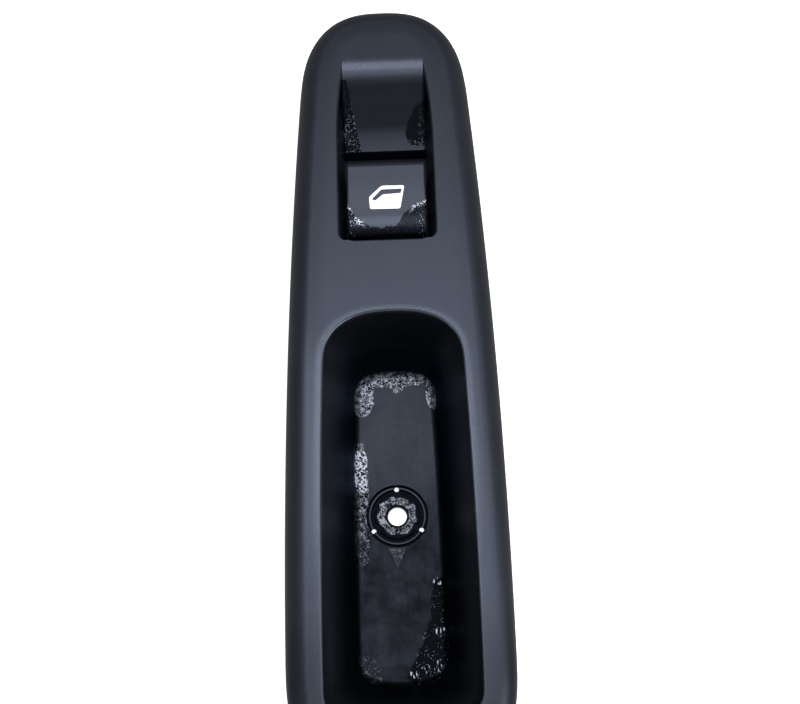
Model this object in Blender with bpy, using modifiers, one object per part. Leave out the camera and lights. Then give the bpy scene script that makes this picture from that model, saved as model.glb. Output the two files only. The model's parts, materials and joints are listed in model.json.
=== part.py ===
"""Passenger power window switch in its door-pull trim panel.

A long moulded panel carries a finger scoop with a rocker key at its head end and a deep pull
pocket behind it. The switch module hangs under the head: a housing with a turret and two pivot
stubs, a rocker cap on its carrier, a lever that drives a contact slider between two return
springs, a circuit board with six terminals, and a base cover with the connector shroud.

The model is in metres with +Z up. All sizes below are in millimetres and become metres in the
mesh helpers. +Y runs along the panel towards the switch end, X runs across it, and Z is zero at
the flat underside of the pull pocket.
"""

import math
from collections import namedtuple

import bmesh
import bpy
from mathutils import Matrix, Vector

MM = 0.001

# Clearances
SEAT_GAP = 0.3
PIVOT_GAP = 0.08
SLIDE_GAP = 0.3
LEVER_GAP = 0.12

# Trim panel: outline seen from above. Its widths and ends follow from the pocket and the switch.
PANEL_WIDEST_Y = -58.0
PANEL_HEAD_LAND = 18.1
PANEL_HEAD_ROUND = 25.8
PANEL_HEAD_POWER = 2.6
PANEL_TAIL_LAND = 15.4
PANEL_TAIL_ROUND = 30.0
PANEL_TAIL_POWER = 2.7
POCKET_SIDE_LAND = 9.6
BOSS_SIDE_LAND = 1.85

# Trim panel: section
WALL = 2.3
SKIRT_DEPTH = 10.0
SKIRT_LAND = 2.0
SKIRT_DRAFT = 0.4
FLANK_WIDTH = 6.6
CROWN = 0.25
CROWN_WIDTH = 4.5

# Pull pocket
POCKET_DEPTH = 34.0
FLOOR_THICKNESS = 3.0
POCKET_X = 0.45
POCKET_HALF_WIDTH = 19.5
POCKET_BOW = 0.0003
POCKET_WIDEST_Y = -60.0
POCKET_HEAD_Y = 13.2
POCKET_TAIL_Y = -91.0
POCKET_ROUND = 14.0
POCKET_POWER = 2.5
POCKET_SIDE_DRAFT = 7.2
POCKET_END_DRAFT = 8.8
POCKET_FLOOR_ROUND = 7.5
POCKET_FLOOR_POWER = 2.8
POCKET_LIP = 1.1
LIP_TURN = 72.0
POCKET_FILLET = 1.6
TUB_FILLET = 3.6

# Screw seat in the pocket floor
SEAT_Y = -36.5
SEAT_RADIUS = 8.6
SEAT_GROOVE_DEPTH = 1.7
SEAT_RING_OUTER = 8.1
SEAT_RING_INNER = 7.4
SEAT_PAD_RADIUS = 6.4
SEAT_PAD_DROP = 0.7
SCREW_HOLE_RADIUS = 2.7
LUG_COUNT = 3
LUG_RADIUS = 1.3
LUG_WINDOW = 1.4

# Rocker key
ROCKER_HALF_WIDTH = 10.7
ROCKER_FRONT_Y = 56.0
ROCKER_LENGTH = 21.4
ROCKER_LIP_RISE = 0.6
ROCKER_LIP_RADIUS = 2.2
ROCKER_SAG = 0.35
ROCKER_ROLL_LENGTH = 5.6
ROCKER_ROLL_DROP = 3.4
ROCKER_SKIRT = 8.5
ROCKER_WALL = 1.4
ROCKER_EDGE = 0.5
ROCKER_TILT = math.radians(7.0)

# Well round the rocker, and the finger scoop in front of it
WELL_CLEARANCE = 0.8
WELL_DEPTH = 7.0
WELL_DRAFT = 0.235
WELL_WALL = 1.8
WELL_REAR_GAP = 1.2
WELL_CORNER = 2.6
SCOOP_LENGTH = 25.6
SCOOP_GAP = 6.7
SCOOP_EDGE = 7.0
SCOOP_POWER = 2.2
SCOOP_FILLET = 1.2

# Pivot and turret
PIVOT_BACK = 11.5
PIVOT_DROP = 9.5
STUB_RADIUS = 1.6
STUB_LENGTH = 1.5
TURRET_HALF_WIDTH = 7.3
TURRET_HALF_LENGTH = 6.5
TURRET_WALL = 1.4
TURRET_CROWN = 1.2

# Carrier inside the rocker cap
CARRIER_WALL = 1.4
CARRIER_EAR_HALF = 4.4
CARRIER_REACH = 8.6
LEVER_HALF_WIDTH = 1.4
LEVER_HALF_THICK = 1.1
LEVER_TIP_RADIUS = 1.5
LEVER_LENGTH = 11.0

# Light guide under the window symbol
GUIDE_HALF_WIDTH = 5.0
GUIDE_HALF_LENGTH = 3.6
GUIDE_THICK = 1.3
GUIDE_STEM_X = 4.1
GUIDE_STEM_RADIUS = 1.2
GUIDE_STEM_FOOT = 1.8

# Switch housing
FLANGE_EDGE = 3.1
FLANGE_AHEAD = 3.0
FLANGE_THICK = 2.0
FLANGE_DROP = 3.0
BODY_HALF_WIDTH = 13.5
BODY_HALF_LENGTH = 18.5
BODY_AHEAD = 1.5
BODY_HEIGHT = 13.2
BODY_WALL = 1.5
RAIL_WALL = 1.3
SPRING_WALL_DISTANCE = 13.5

# Module screws and their bosses on the panel
BOSS_CLEARANCE = 2.6
BOSS_HALF_PITCH = 12.0
BOSS_RADIUS = 2.9
SCREW_RADIUS = 1.1
SCREW_LENGTH = 9.0
SCREW_HEAD_RADIUS = 2.4
SCREW_HEAD_HEIGHT = 1.6

# Contact slider and its springs
SLIDER_HALF_WIDTH = 7.5
SLIDER_HALF_LENGTH = 6.0
SLIDER_HEIGHT = 5.0
SLIDER_WINDOW_WALL = 1.0
SLIDER_WINDOW_HALF_LENGTH = 3.4
SPIGOT_RADIUS = 1.1
SPIGOT_LENGTH = 1.2
SPRING_RADIUS = 1.7
SPRING_WIRE = 0.2
SPRING_TURNS = 5
SPRING_STEPS = 12

# Contact bridges
BRIDGE_ROWS = {"left": -4.7, "centre": 0.0}
BRIDGE_HALF_WIDTH = 1.1
BRIDGE_HALF_LENGTH = 4.4
BRIDGE_HEIGHT = 1.15
BRIDGE_STRIP = 0.25

# Circuit board
BOARD_THICK = 1.6
PAD_HEIGHT = 0.15
PAD_PITCH = 3.4
PAD_HALF_LENGTH = 1.3
LED_HALF_LENGTH = 1.5
LED_HALF_WIDTH = 1.1
LED_HEIGHT = 0.7
LED_DOME = 0.8
RESISTOR_X = 4.0
RESISTOR_BACK = 13.0
RESISTOR_SIZE = (3.2, 1.6, 0.6)

# Terminals and connector shroud
PIN_COUNT = 6
PIN_PITCH = 2.5
PIN_HALF = 0.32
PIN_AHEAD = 10.5
PIN_ABOVE_BOARD = 0.7
PIN_RECESS = 1.6
SHROUD_HALF_WIDTH = 9.5
SHROUD_HALF_LENGTH = 6.2
SHROUD_WALL = 1.3
SHROUD_CORNER = 1.6
SHROUD_KEY = 0.9

# Base cover
COVER_THICK = 1.8
COVER_LIP_WALL = 1.2
POST_RADIUS = 0.8
POST_X = 9.0
LOOP_OFFSET = 10.0
LOOP_HALF_WIDTH = 3.5
LOOP_WALL = 1.2
LOOP_HEIGHT = 8.0
LOOP_BAR = 1.4
CATCH_DEPTH = 1.0
CATCH_HEIGHT = 2.4

# Panel clips and the tabs that they grip
TAB_THICK = 1.6
TAB_HALF_WIDTH = 4.0
TAB_BOTTOM_DROP = 18.0
CLIP_HALF_WIDTH = 3.5
CLIP_STRIP = 0.5
CLIP_HEIGHT = 9.0
CLIP_BULGE = 1.3

# Stiffening ribs under the face
RIB_HALF_THICK = 0.6
RIB_STATIONS = (-78.0, -58.0, -16.0, 2.0)
RIB_DROP = 8.5
LONG_RIB_X = 8.0
LONG_RIB_UNDER_SCOOP = 8.0

# Facets and shading
CREASE_ANGLE = math.radians(32.0)
END_STEPS = 26
FLANK_STEPS = 7
TUB_STEPS = 4
SIDE_STEPS = 8
ARC_STEPS = 6
ROUND_SIDES = 24

# Places along and across the panel that follow from the sizes above
PIVOT_Y = ROCKER_FRONT_Y - PIVOT_BACK
FLANGE_Y = PIVOT_Y + FLANGE_AHEAD
BODY_Y = PIVOT_Y + BODY_AHEAD
PIN_Y = PIVOT_Y + PIN_AHEAD
RESISTOR_Y = PIVOT_Y - RESISTOR_BACK
SCOOP_REAR_Y = ROCKER_FRONT_Y + SCOOP_GAP
SCOOP_FRONT_Y = SCOOP_REAR_Y + SCOOP_LENGTH
WELL_REAR_Y = ROCKER_FRONT_Y - ROCKER_LENGTH - WELL_REAR_GAP
WELL_HALF_WIDTH = ROCKER_HALF_WIDTH + WELL_CLEARANCE
BOSS_X = BODY_HALF_WIDTH + SCREW_HEAD_RADIUS + BOSS_CLEARANCE
BOSS_HEAD_Y = FLANGE_Y + BOSS_HALF_PITCH
FLANGE_HALF_WIDTH = BOSS_X + FLANGE_EDGE
FLANGE_HALF_LENGTH = BOSS_HALF_PITCH + FLANGE_EDGE
PANEL_HALF_WIDTH = POCKET_HALF_WIDTH + POCKET_SIDE_LAND
PANEL_HEAD_HALF_WIDTH = BOSS_X + BOSS_RADIUS + BOSS_SIDE_LAND + WALL
PANEL_BOW = (PANEL_HALF_WIDTH - PANEL_HEAD_HALF_WIDTH) / (BOSS_HEAD_Y - PANEL_WIDEST_Y) ** 2
PANEL_HEAD_Y = SCOOP_FRONT_Y + PANEL_HEAD_LAND
PANEL_TAIL_Y = POCKET_TAIL_Y - PANEL_TAIL_LAND

# Levels that follow from the sizes above
FACE_Z = FLOOR_THICKNESS + POCKET_DEPTH
PIVOT_Z = FACE_Z - PIVOT_DROP
TURRET_TOP_Z = PIVOT_Z + STUB_RADIUS + TURRET_CROWN
CARRIER_BOTTOM_Z = TURRET_TOP_Z + TURRET_HALF_LENGTH * math.sin(ROCKER_TILT) + 0.7
CARRIER_TOP_Z = CARRIER_BOTTOM_Z + CARRIER_WALL
GUIDE_BOTTOM_Z = CARRIER_TOP_Z + SEAT_GAP
GUIDE_TOP_Z = GUIDE_BOTTOM_Z + GUIDE_THICK
CAP_UNDERSIDE_Z = GUIDE_TOP_Z + SEAT_GAP
CAP_INNER_HALF = ROCKER_HALF_WIDTH - ROCKER_WALL
CARRIER_HALF_WIDTH = CAP_INNER_HALF - SEAT_GAP
CARRIER_EAR_INNER = CARRIER_HALF_WIDTH - CARRIER_WALL
LEVER_TIP_Z = PIVOT_Z - LEVER_LENGTH
FLANGE_TOP_Z = PIVOT_Z - FLANGE_DROP
FLANGE_BOTTOM_Z = FLANGE_TOP_Z - FLANGE_THICK
BODY_BOTTOM_Z = FLANGE_BOTTOM_Z - BODY_HEIGHT
BODY_INNER_HALF_WIDTH = BODY_HALF_WIDTH - BODY_WALL
BODY_INNER_HALF_LENGTH = BODY_HALF_LENGTH - BODY_WALL
COVER_TOP_Z = BODY_BOTTOM_Z - SEAT_GAP
COVER_BOTTOM_Z = COVER_TOP_Z - COVER_THICK
SHROUD_BOTTOM_Z = 0.0
SLIDER_Z = LEVER_TIP_Z
SLIDER_TOP_Z = SLIDER_Z + SLIDER_HEIGHT / 2
SLIDER_BOTTOM_Z = SLIDER_Z - SLIDER_HEIGHT / 2
BOARD_TOP_Z = SLIDER_BOTTOM_Z - SEAT_GAP - BRIDGE_HEIGHT - SEAT_GAP - PAD_HEIGHT
BOARD_BOTTOM_Z = BOARD_TOP_Z - BOARD_THICK
COVER_LIP_Z = BOARD_BOTTOM_Z - SEAT_GAP
WELL_FLOOR_Z = FACE_Z - WELL_DEPTH
BOSS_BOTTOM_Z = FLANGE_TOP_Z + SEAT_GAP
GUIDE_FOOT_Z = SLIDER_TOP_Z + GUIDE_STEM_FOOT

Oval = namedtuple(
    "Oval",
    "half_width bow widest_y head_y head_round head_power tail_y tail_round tail_power",
)

PANEL_OVAL = Oval(
    PANEL_HALF_WIDTH,
    PANEL_BOW,
    PANEL_WIDEST_Y,
    PANEL_HEAD_Y,
    PANEL_HEAD_ROUND,
    PANEL_HEAD_POWER,
    PANEL_TAIL_Y,
    PANEL_TAIL_ROUND,
    PANEL_TAIL_POWER,
)
RIM_OVAL = Oval(
    POCKET_HALF_WIDTH,
    POCKET_BOW,
    POCKET_WIDEST_Y,
    POCKET_HEAD_Y,
    POCKET_ROUND,
    POCKET_POWER,
    POCKET_TAIL_Y,
    POCKET_ROUND,
    POCKET_POWER,
)
FLOOR_OVAL = Oval(
    POCKET_HALF_WIDTH - POCKET_SIDE_DRAFT,
    POCKET_BOW,
    POCKET_WIDEST_Y,
    POCKET_HEAD_Y - POCKET_END_DRAFT,
    POCKET_FLOOR_ROUND,
    POCKET_FLOOR_POWER,
    POCKET_TAIL_Y + POCKET_END_DRAFT,
    POCKET_FLOOR_ROUND,
    POCKET_FLOOR_POWER,
)


# Scene, collections and materials


def clear_scene():
    for obj in list(bpy.data.objects):
        bpy.data.objects.remove(obj)


def new_collection(name):
    collection = bpy.data.collections.new(name)
    bpy.context.scene.collection.children.link(collection)
    return collection


def material(name, colour, roughness, metallic=0.0, transmission=0.0):
    made = bpy.data.materials.new(name)
    made.use_nodes = True
    shader = made.node_tree.nodes["Principled BSDF"]
    shader.inputs["Base Color"].default_value = (*colour, 1.0)
    shader.inputs["Roughness"].default_value = roughness
    shader.inputs["Metallic"].default_value = metallic
    shader.inputs["Transmission Weight"].default_value = transmission
    made.diffuse_color = (*colour, 1.0)
    return made


clear_scene()
PARTS = new_collection("power_window_switch")
CUTTERS = new_collection("cutters")
PANEL_PLASTIC = material("grained_slate_plastic", (0.045, 0.05, 0.062), 0.5)
KEY_PLASTIC = material("satin_key_plastic", (0.035, 0.038, 0.048), 0.32)
BLACK_PLASTIC = material("black_housing_plastic", (0.012, 0.012, 0.013), 0.55)
WHITE_PLASTIC = material("natural_acetal", (0.78, 0.77, 0.72), 0.4)
CLEAR_PLASTIC = material("clear_acrylic", (0.9, 0.93, 0.95), 0.08, transmission=0.9)
BOARD_LAMINATE = material("board_laminate", (0.03, 0.16, 0.07), 0.4)
BRONZE = material("spring_bronze", (0.62, 0.38, 0.18), 0.3, metallic=1.0)
TINNED_BRASS = material("tinned_brass", (0.72, 0.7, 0.64), 0.28, metallic=1.0)
SPRING_STEEL = material("spring_steel", (0.55, 0.56, 0.58), 0.3, metallic=1.0)
ZINC_STEEL = material("zinc_steel", (0.62, 0.63, 0.65), 0.35, metallic=1.0)
LED_RESIN = material("led_resin", (0.85, 0.84, 0.74), 0.25)
RESISTOR_BLACK = material("resistor_black", (0.02, 0.02, 0.022), 0.4)


# Mesh helpers: points and sizes in millimetres


def add_object(name, mesh, finish=None):
    """Links a mesh as a part if it has a finish, and as a hidden cutter if it has none."""
    obj = bpy.data.objects.new(name, mesh)
    if finish:
        PARTS.objects.link(obj)
        mesh.materials.append(finish)
    else:
        CUTTERS.objects.link(obj)
        obj.hide_render = True
        obj.display_type = "WIRE"
    return obj


def from_bmesh(name, shape, finish=None):
    bmesh.ops.scale(shape, vec=(MM, MM, MM), verts=shape.verts)
    bmesh.ops.recalc_face_normals(shape, faces=shape.faces)
    mesh = bpy.data.meshes.new(name)
    shape.to_mesh(mesh)
    shape.free()
    mesh.shade_smooth()
    mesh.set_sharp_from_angle(angle=CREASE_ANGLE)
    return add_object(name, mesh, finish)


def box(name, low, high, finish=None):
    shape = bmesh.new()
    size = Vector(high) - Vector(low)
    centre = (Vector(high) + Vector(low)) / 2
    bmesh.ops.create_cube(
        shape, size=1, matrix=Matrix.Translation(centre) @ Matrix.Diagonal((*size, 1))
    )
    return from_bmesh(name, shape, finish)


def cylinder(name, centre, radius, length, axis="Z", finish=None, sides=ROUND_SIDES):
    turn = {
        "Z": Matrix.Identity(4),
        "Y": Matrix.Rotation(math.radians(-90), 4, "X"),
        "X": Matrix.Rotation(math.radians(90), 4, "Y"),
    }[axis]
    shape = bmesh.new()
    bmesh.ops.create_cone(
        shape,
        cap_ends=True,
        segments=sides,
        radius1=radius,
        radius2=radius,
        depth=length,
        matrix=Matrix.Translation(centre) @ turn,
    )
    return from_bmesh(name, shape, finish)


def prism(name, outline, low, high, axis="Z", finish=None):
    """A flat outline pushed along an axis. The outline's pairs are (x, y), or (y, z) for axis X."""
    place = {
        "Z": lambda a, b: (a, b, low),
        "X": lambda a, b: (low, a, b),
    }[axis]
    push = {"Z": (0, 0, high - low), "X": (high - low, 0, 0)}[axis]
    shape = bmesh.new()
    face = shape.faces.new([shape.verts.new(place(a, b)) for a, b in outline])
    grown = bmesh.ops.extrude_face_region(shape, geom=[face])
    moved = [v for v in grown["geom"] if isinstance(v, bmesh.types.BMVert)]
    bmesh.ops.translate(shape, vec=push, verts=moved)
    return from_bmesh(name, shape, finish)


def loft(name, rings, finish=None):
    """Skins rings that have the same number of points, and caps both ends."""
    shape = bmesh.new()
    rows = [[shape.verts.new(point) for point in ring] for ring in rings]
    for lower, upper in zip(rows, rows[1:]):
        for i in range(len(lower)):
            j = (i + 1) % len(lower)
            shape.faces.new((lower[i], lower[j], upper[j], upper[i]))
    shape.faces.new(rows[0])
    shape.faces.new(rows[-1])
    return from_bmesh(name, shape, finish)


def turned(name, profile, centre, finish=None, sides=ROUND_SIDES):
    """Spins a (radius, height) profile round the vertical line through centre."""
    mesh = bpy.data.meshes.new(name)
    points = [(r * MM, 0, z * MM) for r, z in profile]
    edges = [(i, i + 1) for i in range(len(points) - 1)]
    if profile[0][0] > 0:
        edges.append((len(points) - 1, 0))
    mesh.from_pydata(points, edges, [])
    obj = add_object(name, mesh, finish)
    obj.location = Vector(centre) * MM
    spin = obj.modifiers.new("spin", "SCREW")
    spin.steps = spin.render_steps = sides
    spin.use_merge_vertices = True
    spin.merge_threshold = 0.00001
    spin.use_smooth_shade = True
    return obj


def boolean(target, tools, operation):
    for tool in tools:
        step = target.modifiers.new(tool.name, "BOOLEAN")
        step.operation = operation
        step.object = tool
        step.solver = "EXACT"
    return target


def cut(target, *tools):
    return boolean(target, tools, "DIFFERENCE")


def join(target, *tools):
    return boolean(target, tools, "UNION")


def bevel(obj, width, segments=2, angle=40.0):
    rounding = obj.modifiers.new("bevel", "BEVEL")
    rounding.width = width * MM
    rounding.segments = segments
    rounding.limit_method = "ANGLE"
    rounding.angle_limit = math.radians(angle)
    return obj


def hang(pivot, *pieces):
    """Parents pieces to an empty on their joint, with each mesh measured from it."""
    for piece in pieces:
        offset = pivot.location - piece.location
        piece.data.transform(Matrix.Translation(-offset))
        piece.location = (0, 0, 0)
        piece.parent = pivot


def joint_empty(name, place):
    empty = bpy.data.objects.new(name, None)
    empty.location = Vector(place) * MM
    empty.empty_display_size = 5 * MM
    PARTS.objects.link(empty)
    return empty


# Outlines


def oval_half_width(oval, y):
    return oval.half_width - oval.bow * (y - oval.widest_y) ** 2


def oval_end(oval, base, reach, power):
    """One blunt round end, from +X to -X at the head end and back again at the tail."""
    points = []
    for step in range(END_STEPS + 1):
        angle = math.pi * step / END_STEPS
        y = base + reach * math.sin(angle) ** (2 / power) if 0 < step < END_STEPS else base
        across = math.cos(angle)
        x = math.copysign(abs(across) ** (2 / power), across) * oval_half_width(oval, y)
        points.append(Vector((math.copysign(1, reach) * x, y)))
    return points


def oval_side(oval, start, end, side):
    """The points between two ends, on the side that side's sign names."""
    stations = [start + (end - start) * step / SIDE_STEPS for step in range(1, SIDE_STEPS)]
    return [Vector((side * oval_half_width(oval, y), y)) for y in stations]


def oval_outline(oval, grow=0.0):
    """An oval with bowed sides and blunt round ends, offset outwards by grow."""
    head = oval.head_y - oval.head_round
    tail = oval.tail_y + oval.tail_round
    points = oval_end(oval, head, oval.head_round, oval.head_power)
    points += oval_side(oval, head, tail, -1)
    points += oval_end(oval, tail, -oval.tail_round, oval.tail_power)
    points += oval_side(oval, tail, head, 1)
    return [points[i] + normal * grow for i, normal in enumerate(outward(points))]


def outward(points):
    """The unit normals of a closed outline that runs anticlockwise."""
    count = len(points)
    found = []
    for i in range(count):
        along = (points[(i + 1) % count] - points[i - 1]).normalized()
        found.append(Vector((along.y, -along.x)))
    return found


def at_height(outline, z):
    return [(x, y, z) for x, y in outline]


def rounded_rectangle(low, high, radius, steps=ARC_STEPS):
    points = []
    corners = (
        (high[0] - radius, high[1] - radius, 0),
        (low[0] + radius, high[1] - radius, 90),
        (low[0] + radius, low[1] + radius, 180),
        (high[0] - radius, low[1] + radius, 270),
    )
    for x, y, start in corners:
        for step in range(steps + 1):
            angle = math.radians(start + 90 * step / steps)
            points.append((x + radius * math.cos(angle), y + radius * math.sin(angle)))
    return points


def arc(centre, radius, start, end, steps=ARC_STEPS):
    """Points on an arc, angles in degrees. radius is one number, or one for each axis."""
    rx, ry = radius if isinstance(radius, tuple) else (radius, radius)
    turn = [math.radians(start + (end - start) * k / steps) for k in range(steps + 1)]
    return [(centre[0] + rx * math.cos(a), centre[1] + ry * math.sin(a)) for a in turn]


# Trim panel


def panel_skin(inset_wall, steps):
    """(inset, height) pairs from the skirt's edge to the crowned face, moved inwards by a wall."""
    flank_height = SKIRT_DEPTH - SKIRT_LAND
    pairs = [(0.0, -SKIRT_DEPTH)]
    for k in range(steps + 1):
        angle = math.radians(90 * k / steps)
        inset = SKIRT_DRAFT + (FLANK_WIDTH - SKIRT_DRAFT) * (1 - math.cos(angle))
        pairs.append((inset, -flank_height + (flank_height - CROWN) * math.sin(angle)))
    pairs.append((FLANK_WIDTH + CROWN_WIDTH, 0.0))
    return [(inset + inset_wall, FACE_Z + z - inset_wall) for inset, z in pairs]


def make_panel_shell():
    outer = panel_skin(0.0, FLANK_STEPS)
    inner = [(WALL, FACE_Z - 2 * SKIRT_DEPTH)] + panel_skin(WALL, FLANK_STEPS // 2)
    shell = loft(
        "trim_panel",
        [at_height(oval_outline(PANEL_OVAL, -inset), z) for inset, z in outer],
        PANEL_PLASTIC,
    )
    cavity = loft(
        "panel_cavity",
        [at_height(oval_outline(PANEL_OVAL, -inset), z) for inset, z in inner],
    )
    return cut(shell, cavity)


def pocket_outline(depth, grow=0.0):
    """The pocket's outline at a depth below the face: a blend from the rim to the floor."""
    share = depth / POCKET_DEPTH
    centre = Vector((POCKET_X, 0.0))
    rim = oval_outline(RIM_OVAL, grow)
    floor = oval_outline(FLOOR_OVAL, grow)
    return [centre + a.lerp(b, share) for a, b in zip(rim, floor)]


def pocket_cutter():
    """The space inside the pocket, with a fillet at the floor and a rolled lip at the face."""
    rings = []
    for step in range(ARC_STEPS):
        angle = math.radians(80 * step / (ARC_STEPS - 1))
        depth = POCKET_DEPTH - POCKET_FILLET * (1 - math.cos(angle))
        rings.append((depth, -POCKET_FILLET * (1 - math.sin(angle))))
    for step in range(ARC_STEPS):
        angle = math.radians(LIP_TURN * step / (ARC_STEPS - 1))
        rings.append((POCKET_LIP * (1 - math.sin(angle)), POCKET_LIP * (1 - math.cos(angle))))
    depth, grow = rings[-1]
    tail = math.radians(LIP_TURN)
    above = POCKET_LIP + depth
    rings.append((depth - above, grow + above * math.tan(tail) / 2))
    return loft(
        "pocket_space",
        [at_height(pocket_outline(max(d, 0.0), g), FACE_Z - d) for d, g in rings],
    )


def pocket_tub():
    """The outside of the pocket: wall thickness round the space, flat underneath."""
    levels = (1.2, POCKET_DEPTH - TUB_FILLET + FLOOR_THICKNESS)
    rings = [at_height(pocket_outline(min(d, POCKET_DEPTH), WALL), FACE_Z - d) for d in levels]
    for step in range(1, TUB_STEPS + 1):
        angle = math.radians(90 * step / TUB_STEPS)
        z = TUB_FILLET * (1 - math.sin(angle))
        inset = TUB_FILLET * (1 - math.cos(angle))
        rings.append(at_height(pocket_outline(POCKET_DEPTH, WALL - inset), z))
    return loft("pocket_tub", rings)


def seat_point(radius, turn):
    """A point round the screw seat. Turn 0 is towards the head end."""
    angle = math.radians(90 + turn)
    return radius * math.cos(angle), SEAT_Y + radius * math.sin(angle)


def make_screw_seat(panel):
    """A turned recess for a screw cap: groove, snap ring, inner groove and screw pad."""
    top = SEAT_GROOVE_DEPTH + 2
    groove = turned(
        "seat_groove",
        [
            (SEAT_RING_OUTER, top),
            (SEAT_RADIUS, top),
            (SEAT_RADIUS, 0),
            (SEAT_RING_OUTER, 0),
        ],
        (0, SEAT_Y, FLOOR_THICKNESS - SEAT_GROOVE_DEPTH),
    )
    pad_level = SEAT_GROOVE_DEPTH - SEAT_PAD_DROP
    pad = turned(
        "seat_pad",
        [
            (0, top),
            (SEAT_RING_INNER, top),
            (SEAT_RING_INNER, 0),
            (SEAT_PAD_RADIUS, 0),
            (SEAT_PAD_RADIUS, pad_level),
            (0, pad_level),
        ],
        (0, SEAT_Y, FLOOR_THICKNESS - SEAT_GROOVE_DEPTH),
    )
    hole = cylinder("screw_hole", (0, SEAT_Y, 0), SCREW_HOLE_RADIUS, 4 * FLOOR_THICKNESS)
    cut(panel, groove, pad, hole)
    for index in range(LUG_COUNT):
        turn = 360 * index / LUG_COUNT
        x, y = seat_point(SEAT_PAD_RADIUS, turn)
        low = FLOOR_THICKNESS - SEAT_GROOVE_DEPTH - 0.2
        notch = cylinder(f"lug_notch_{index}", (x, y, low + 2), LUG_RADIUS, 4, sides=12)
        x, y = seat_point((SEAT_RING_INNER + SEAT_RING_OUTER) / 2, turn)
        window = cylinder(
            f"lug_window_{index}", (x, y, 0), LUG_WINDOW / 2, 4 * FLOOR_THICKNESS, sides=10
        )
        cut(panel, notch, window)


def scoop_drop(y):
    """How far the scoop's floor lies below the face: a rounded edge, then a hollow that levels out."""
    run = SCOOP_FRONT_Y - y
    soft = run**2 / (2 * SCOOP_EDGE) if run < SCOOP_EDGE else run - SCOOP_EDGE / 2
    share = soft / (SCOOP_FRONT_Y - SCOOP_REAR_Y - SCOOP_EDGE / 2)
    return WELL_DEPTH * (1 - (1 - min(share, 1.0)) ** SCOOP_POWER)


def well_section(y, floor, top, grow=0.0, narrow=0.0):
    """The well's section at one y: drafted down to the well's floor level, then upright."""
    half = WELL_HALF_WIDTH + grow - narrow
    fillet = min(SCOOP_FILLET + grow / 2, (top - floor) / 2)
    base = max(floor, WELL_FLOOR_Z)

    def wall(z):
        return half + WELL_DRAFT * max(z - base, 0.0)

    start = floor + fillet
    bend = max(start + (top - start) / 4, WELL_FLOOR_Z)
    side = [(-wall(top), top), (-wall(bend), bend)]
    side += arc((-wall(start) + fillet, start), fillet, 180, 270, 3)
    return [(x, y, z) for x, z in side + [(-x, z) for x, z in reversed(side)]]


def scoop_stations():
    reach = SCOOP_FRONT_Y - SCOOP_REAR_Y
    shares = (0.03, 0.08, 0.15, 0.24, 0.36, 0.5, 0.66, 0.82, 1.0)
    return [SCOOP_FRONT_Y - reach * share for share in shares]


def make_switch_well(panel):
    """Adds the well's walls under the face, then cuts the scoop and the rocker's aperture."""
    under_face = FACE_Z - 1.0
    below = WELL_FLOOR_Z - WELL_WALL
    stations = scoop_stations()
    walls = [
        well_section(y, FACE_Z - max(scoop_drop(y), 0.8) - WELL_WALL, under_face, WELL_WALL)
        for y in [SCOOP_FRONT_Y + WELL_WALL] + stations
    ]
    walls.append(well_section(WELL_REAR_Y - WELL_WALL, below, under_face, WELL_WALL))
    join(panel, loft("well_walls", walls))

    above = FACE_Z + 1.5
    deep = WELL_FLOOR_Z - 4 * WELL_WALL
    space = [well_section(SCOOP_FRONT_Y + 2.0, FACE_Z + 0.4, above)]
    space += [well_section(y, FACE_Z - scoop_drop(y), above) for y in stations]
    space.append(well_section(SCOOP_REAR_Y - 0.05, deep, above))
    for step in range(ARC_STEPS):
        angle = math.radians(90 * step / (ARC_STEPS - 1))
        y = WELL_REAR_Y + WELL_CORNER * (1 - math.sin(angle))
        narrow = WELL_CORNER * (1 - math.cos(angle))
        space.append(well_section(y, deep, above, narrow=narrow))
    cut(panel, loft("well_space", space))


def boss_places():
    return [
        (side * BOSS_X, FLANGE_Y + end * BOSS_HALF_PITCH) for end in (1, -1) for side in (-1, 1)
    ]


def make_bosses(panel):
    """Four posts under the face that take the module's screws."""
    top = FACE_Z - WALL / 2
    for index, (x, y) in enumerate(boss_places(), 1):
        middle = (top + BOSS_BOTTOM_Z) / 2
        post = cylinder(f"boss_{index}", (x, y, middle), BOSS_RADIUS, top - BOSS_BOTTOM_Z)
        depth = SCREW_LENGTH + 2 * SEAT_GAP
        pilot = cylinder(
            f"boss_pilot_{index}",
            (x, y, FLANGE_BOTTOM_Z + depth / 2),
            SCREW_RADIUS + SEAT_GAP,
            depth,
            sides=16,
        )
        join(panel, post)
        cut(panel, pilot)


def clip_places():
    """Where the clip tabs stand: (name, x, y, quarter turns)."""
    head = (PANEL_HEAD_Y + SCOOP_FRONT_Y) / 2 + 0.2
    tail = (PANEL_TAIL_Y + POCKET_TAIL_Y) / 2 - 0.4
    waist = (POCKET_HEAD_Y + WELL_REAR_Y) / 2 + 0.6
    side = PANEL_HALF_WIDTH - FLANK_WIDTH - 2.4
    return [
        ("head", 0.0, head, 0),
        ("tail", 0.0, tail, 0),
        ("left", -side, waist, 1),
        ("right", side, waist, 1),
    ]


def make_tabs(panel):
    top = FACE_Z - WALL / 2
    low = FACE_Z - TAB_BOTTOM_DROP
    for name, x, y, turned_round in clip_places():
        half = (TAB_THICK / 2, TAB_HALF_WIDTH) if turned_round else (TAB_HALF_WIDTH, TAB_THICK / 2)
        join(
            panel,
            box(
                f"tab_{name}",
                (x - half[0], y - half[1], low),
                (x + half[0], y + half[1], top),
            ),
        )


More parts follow.
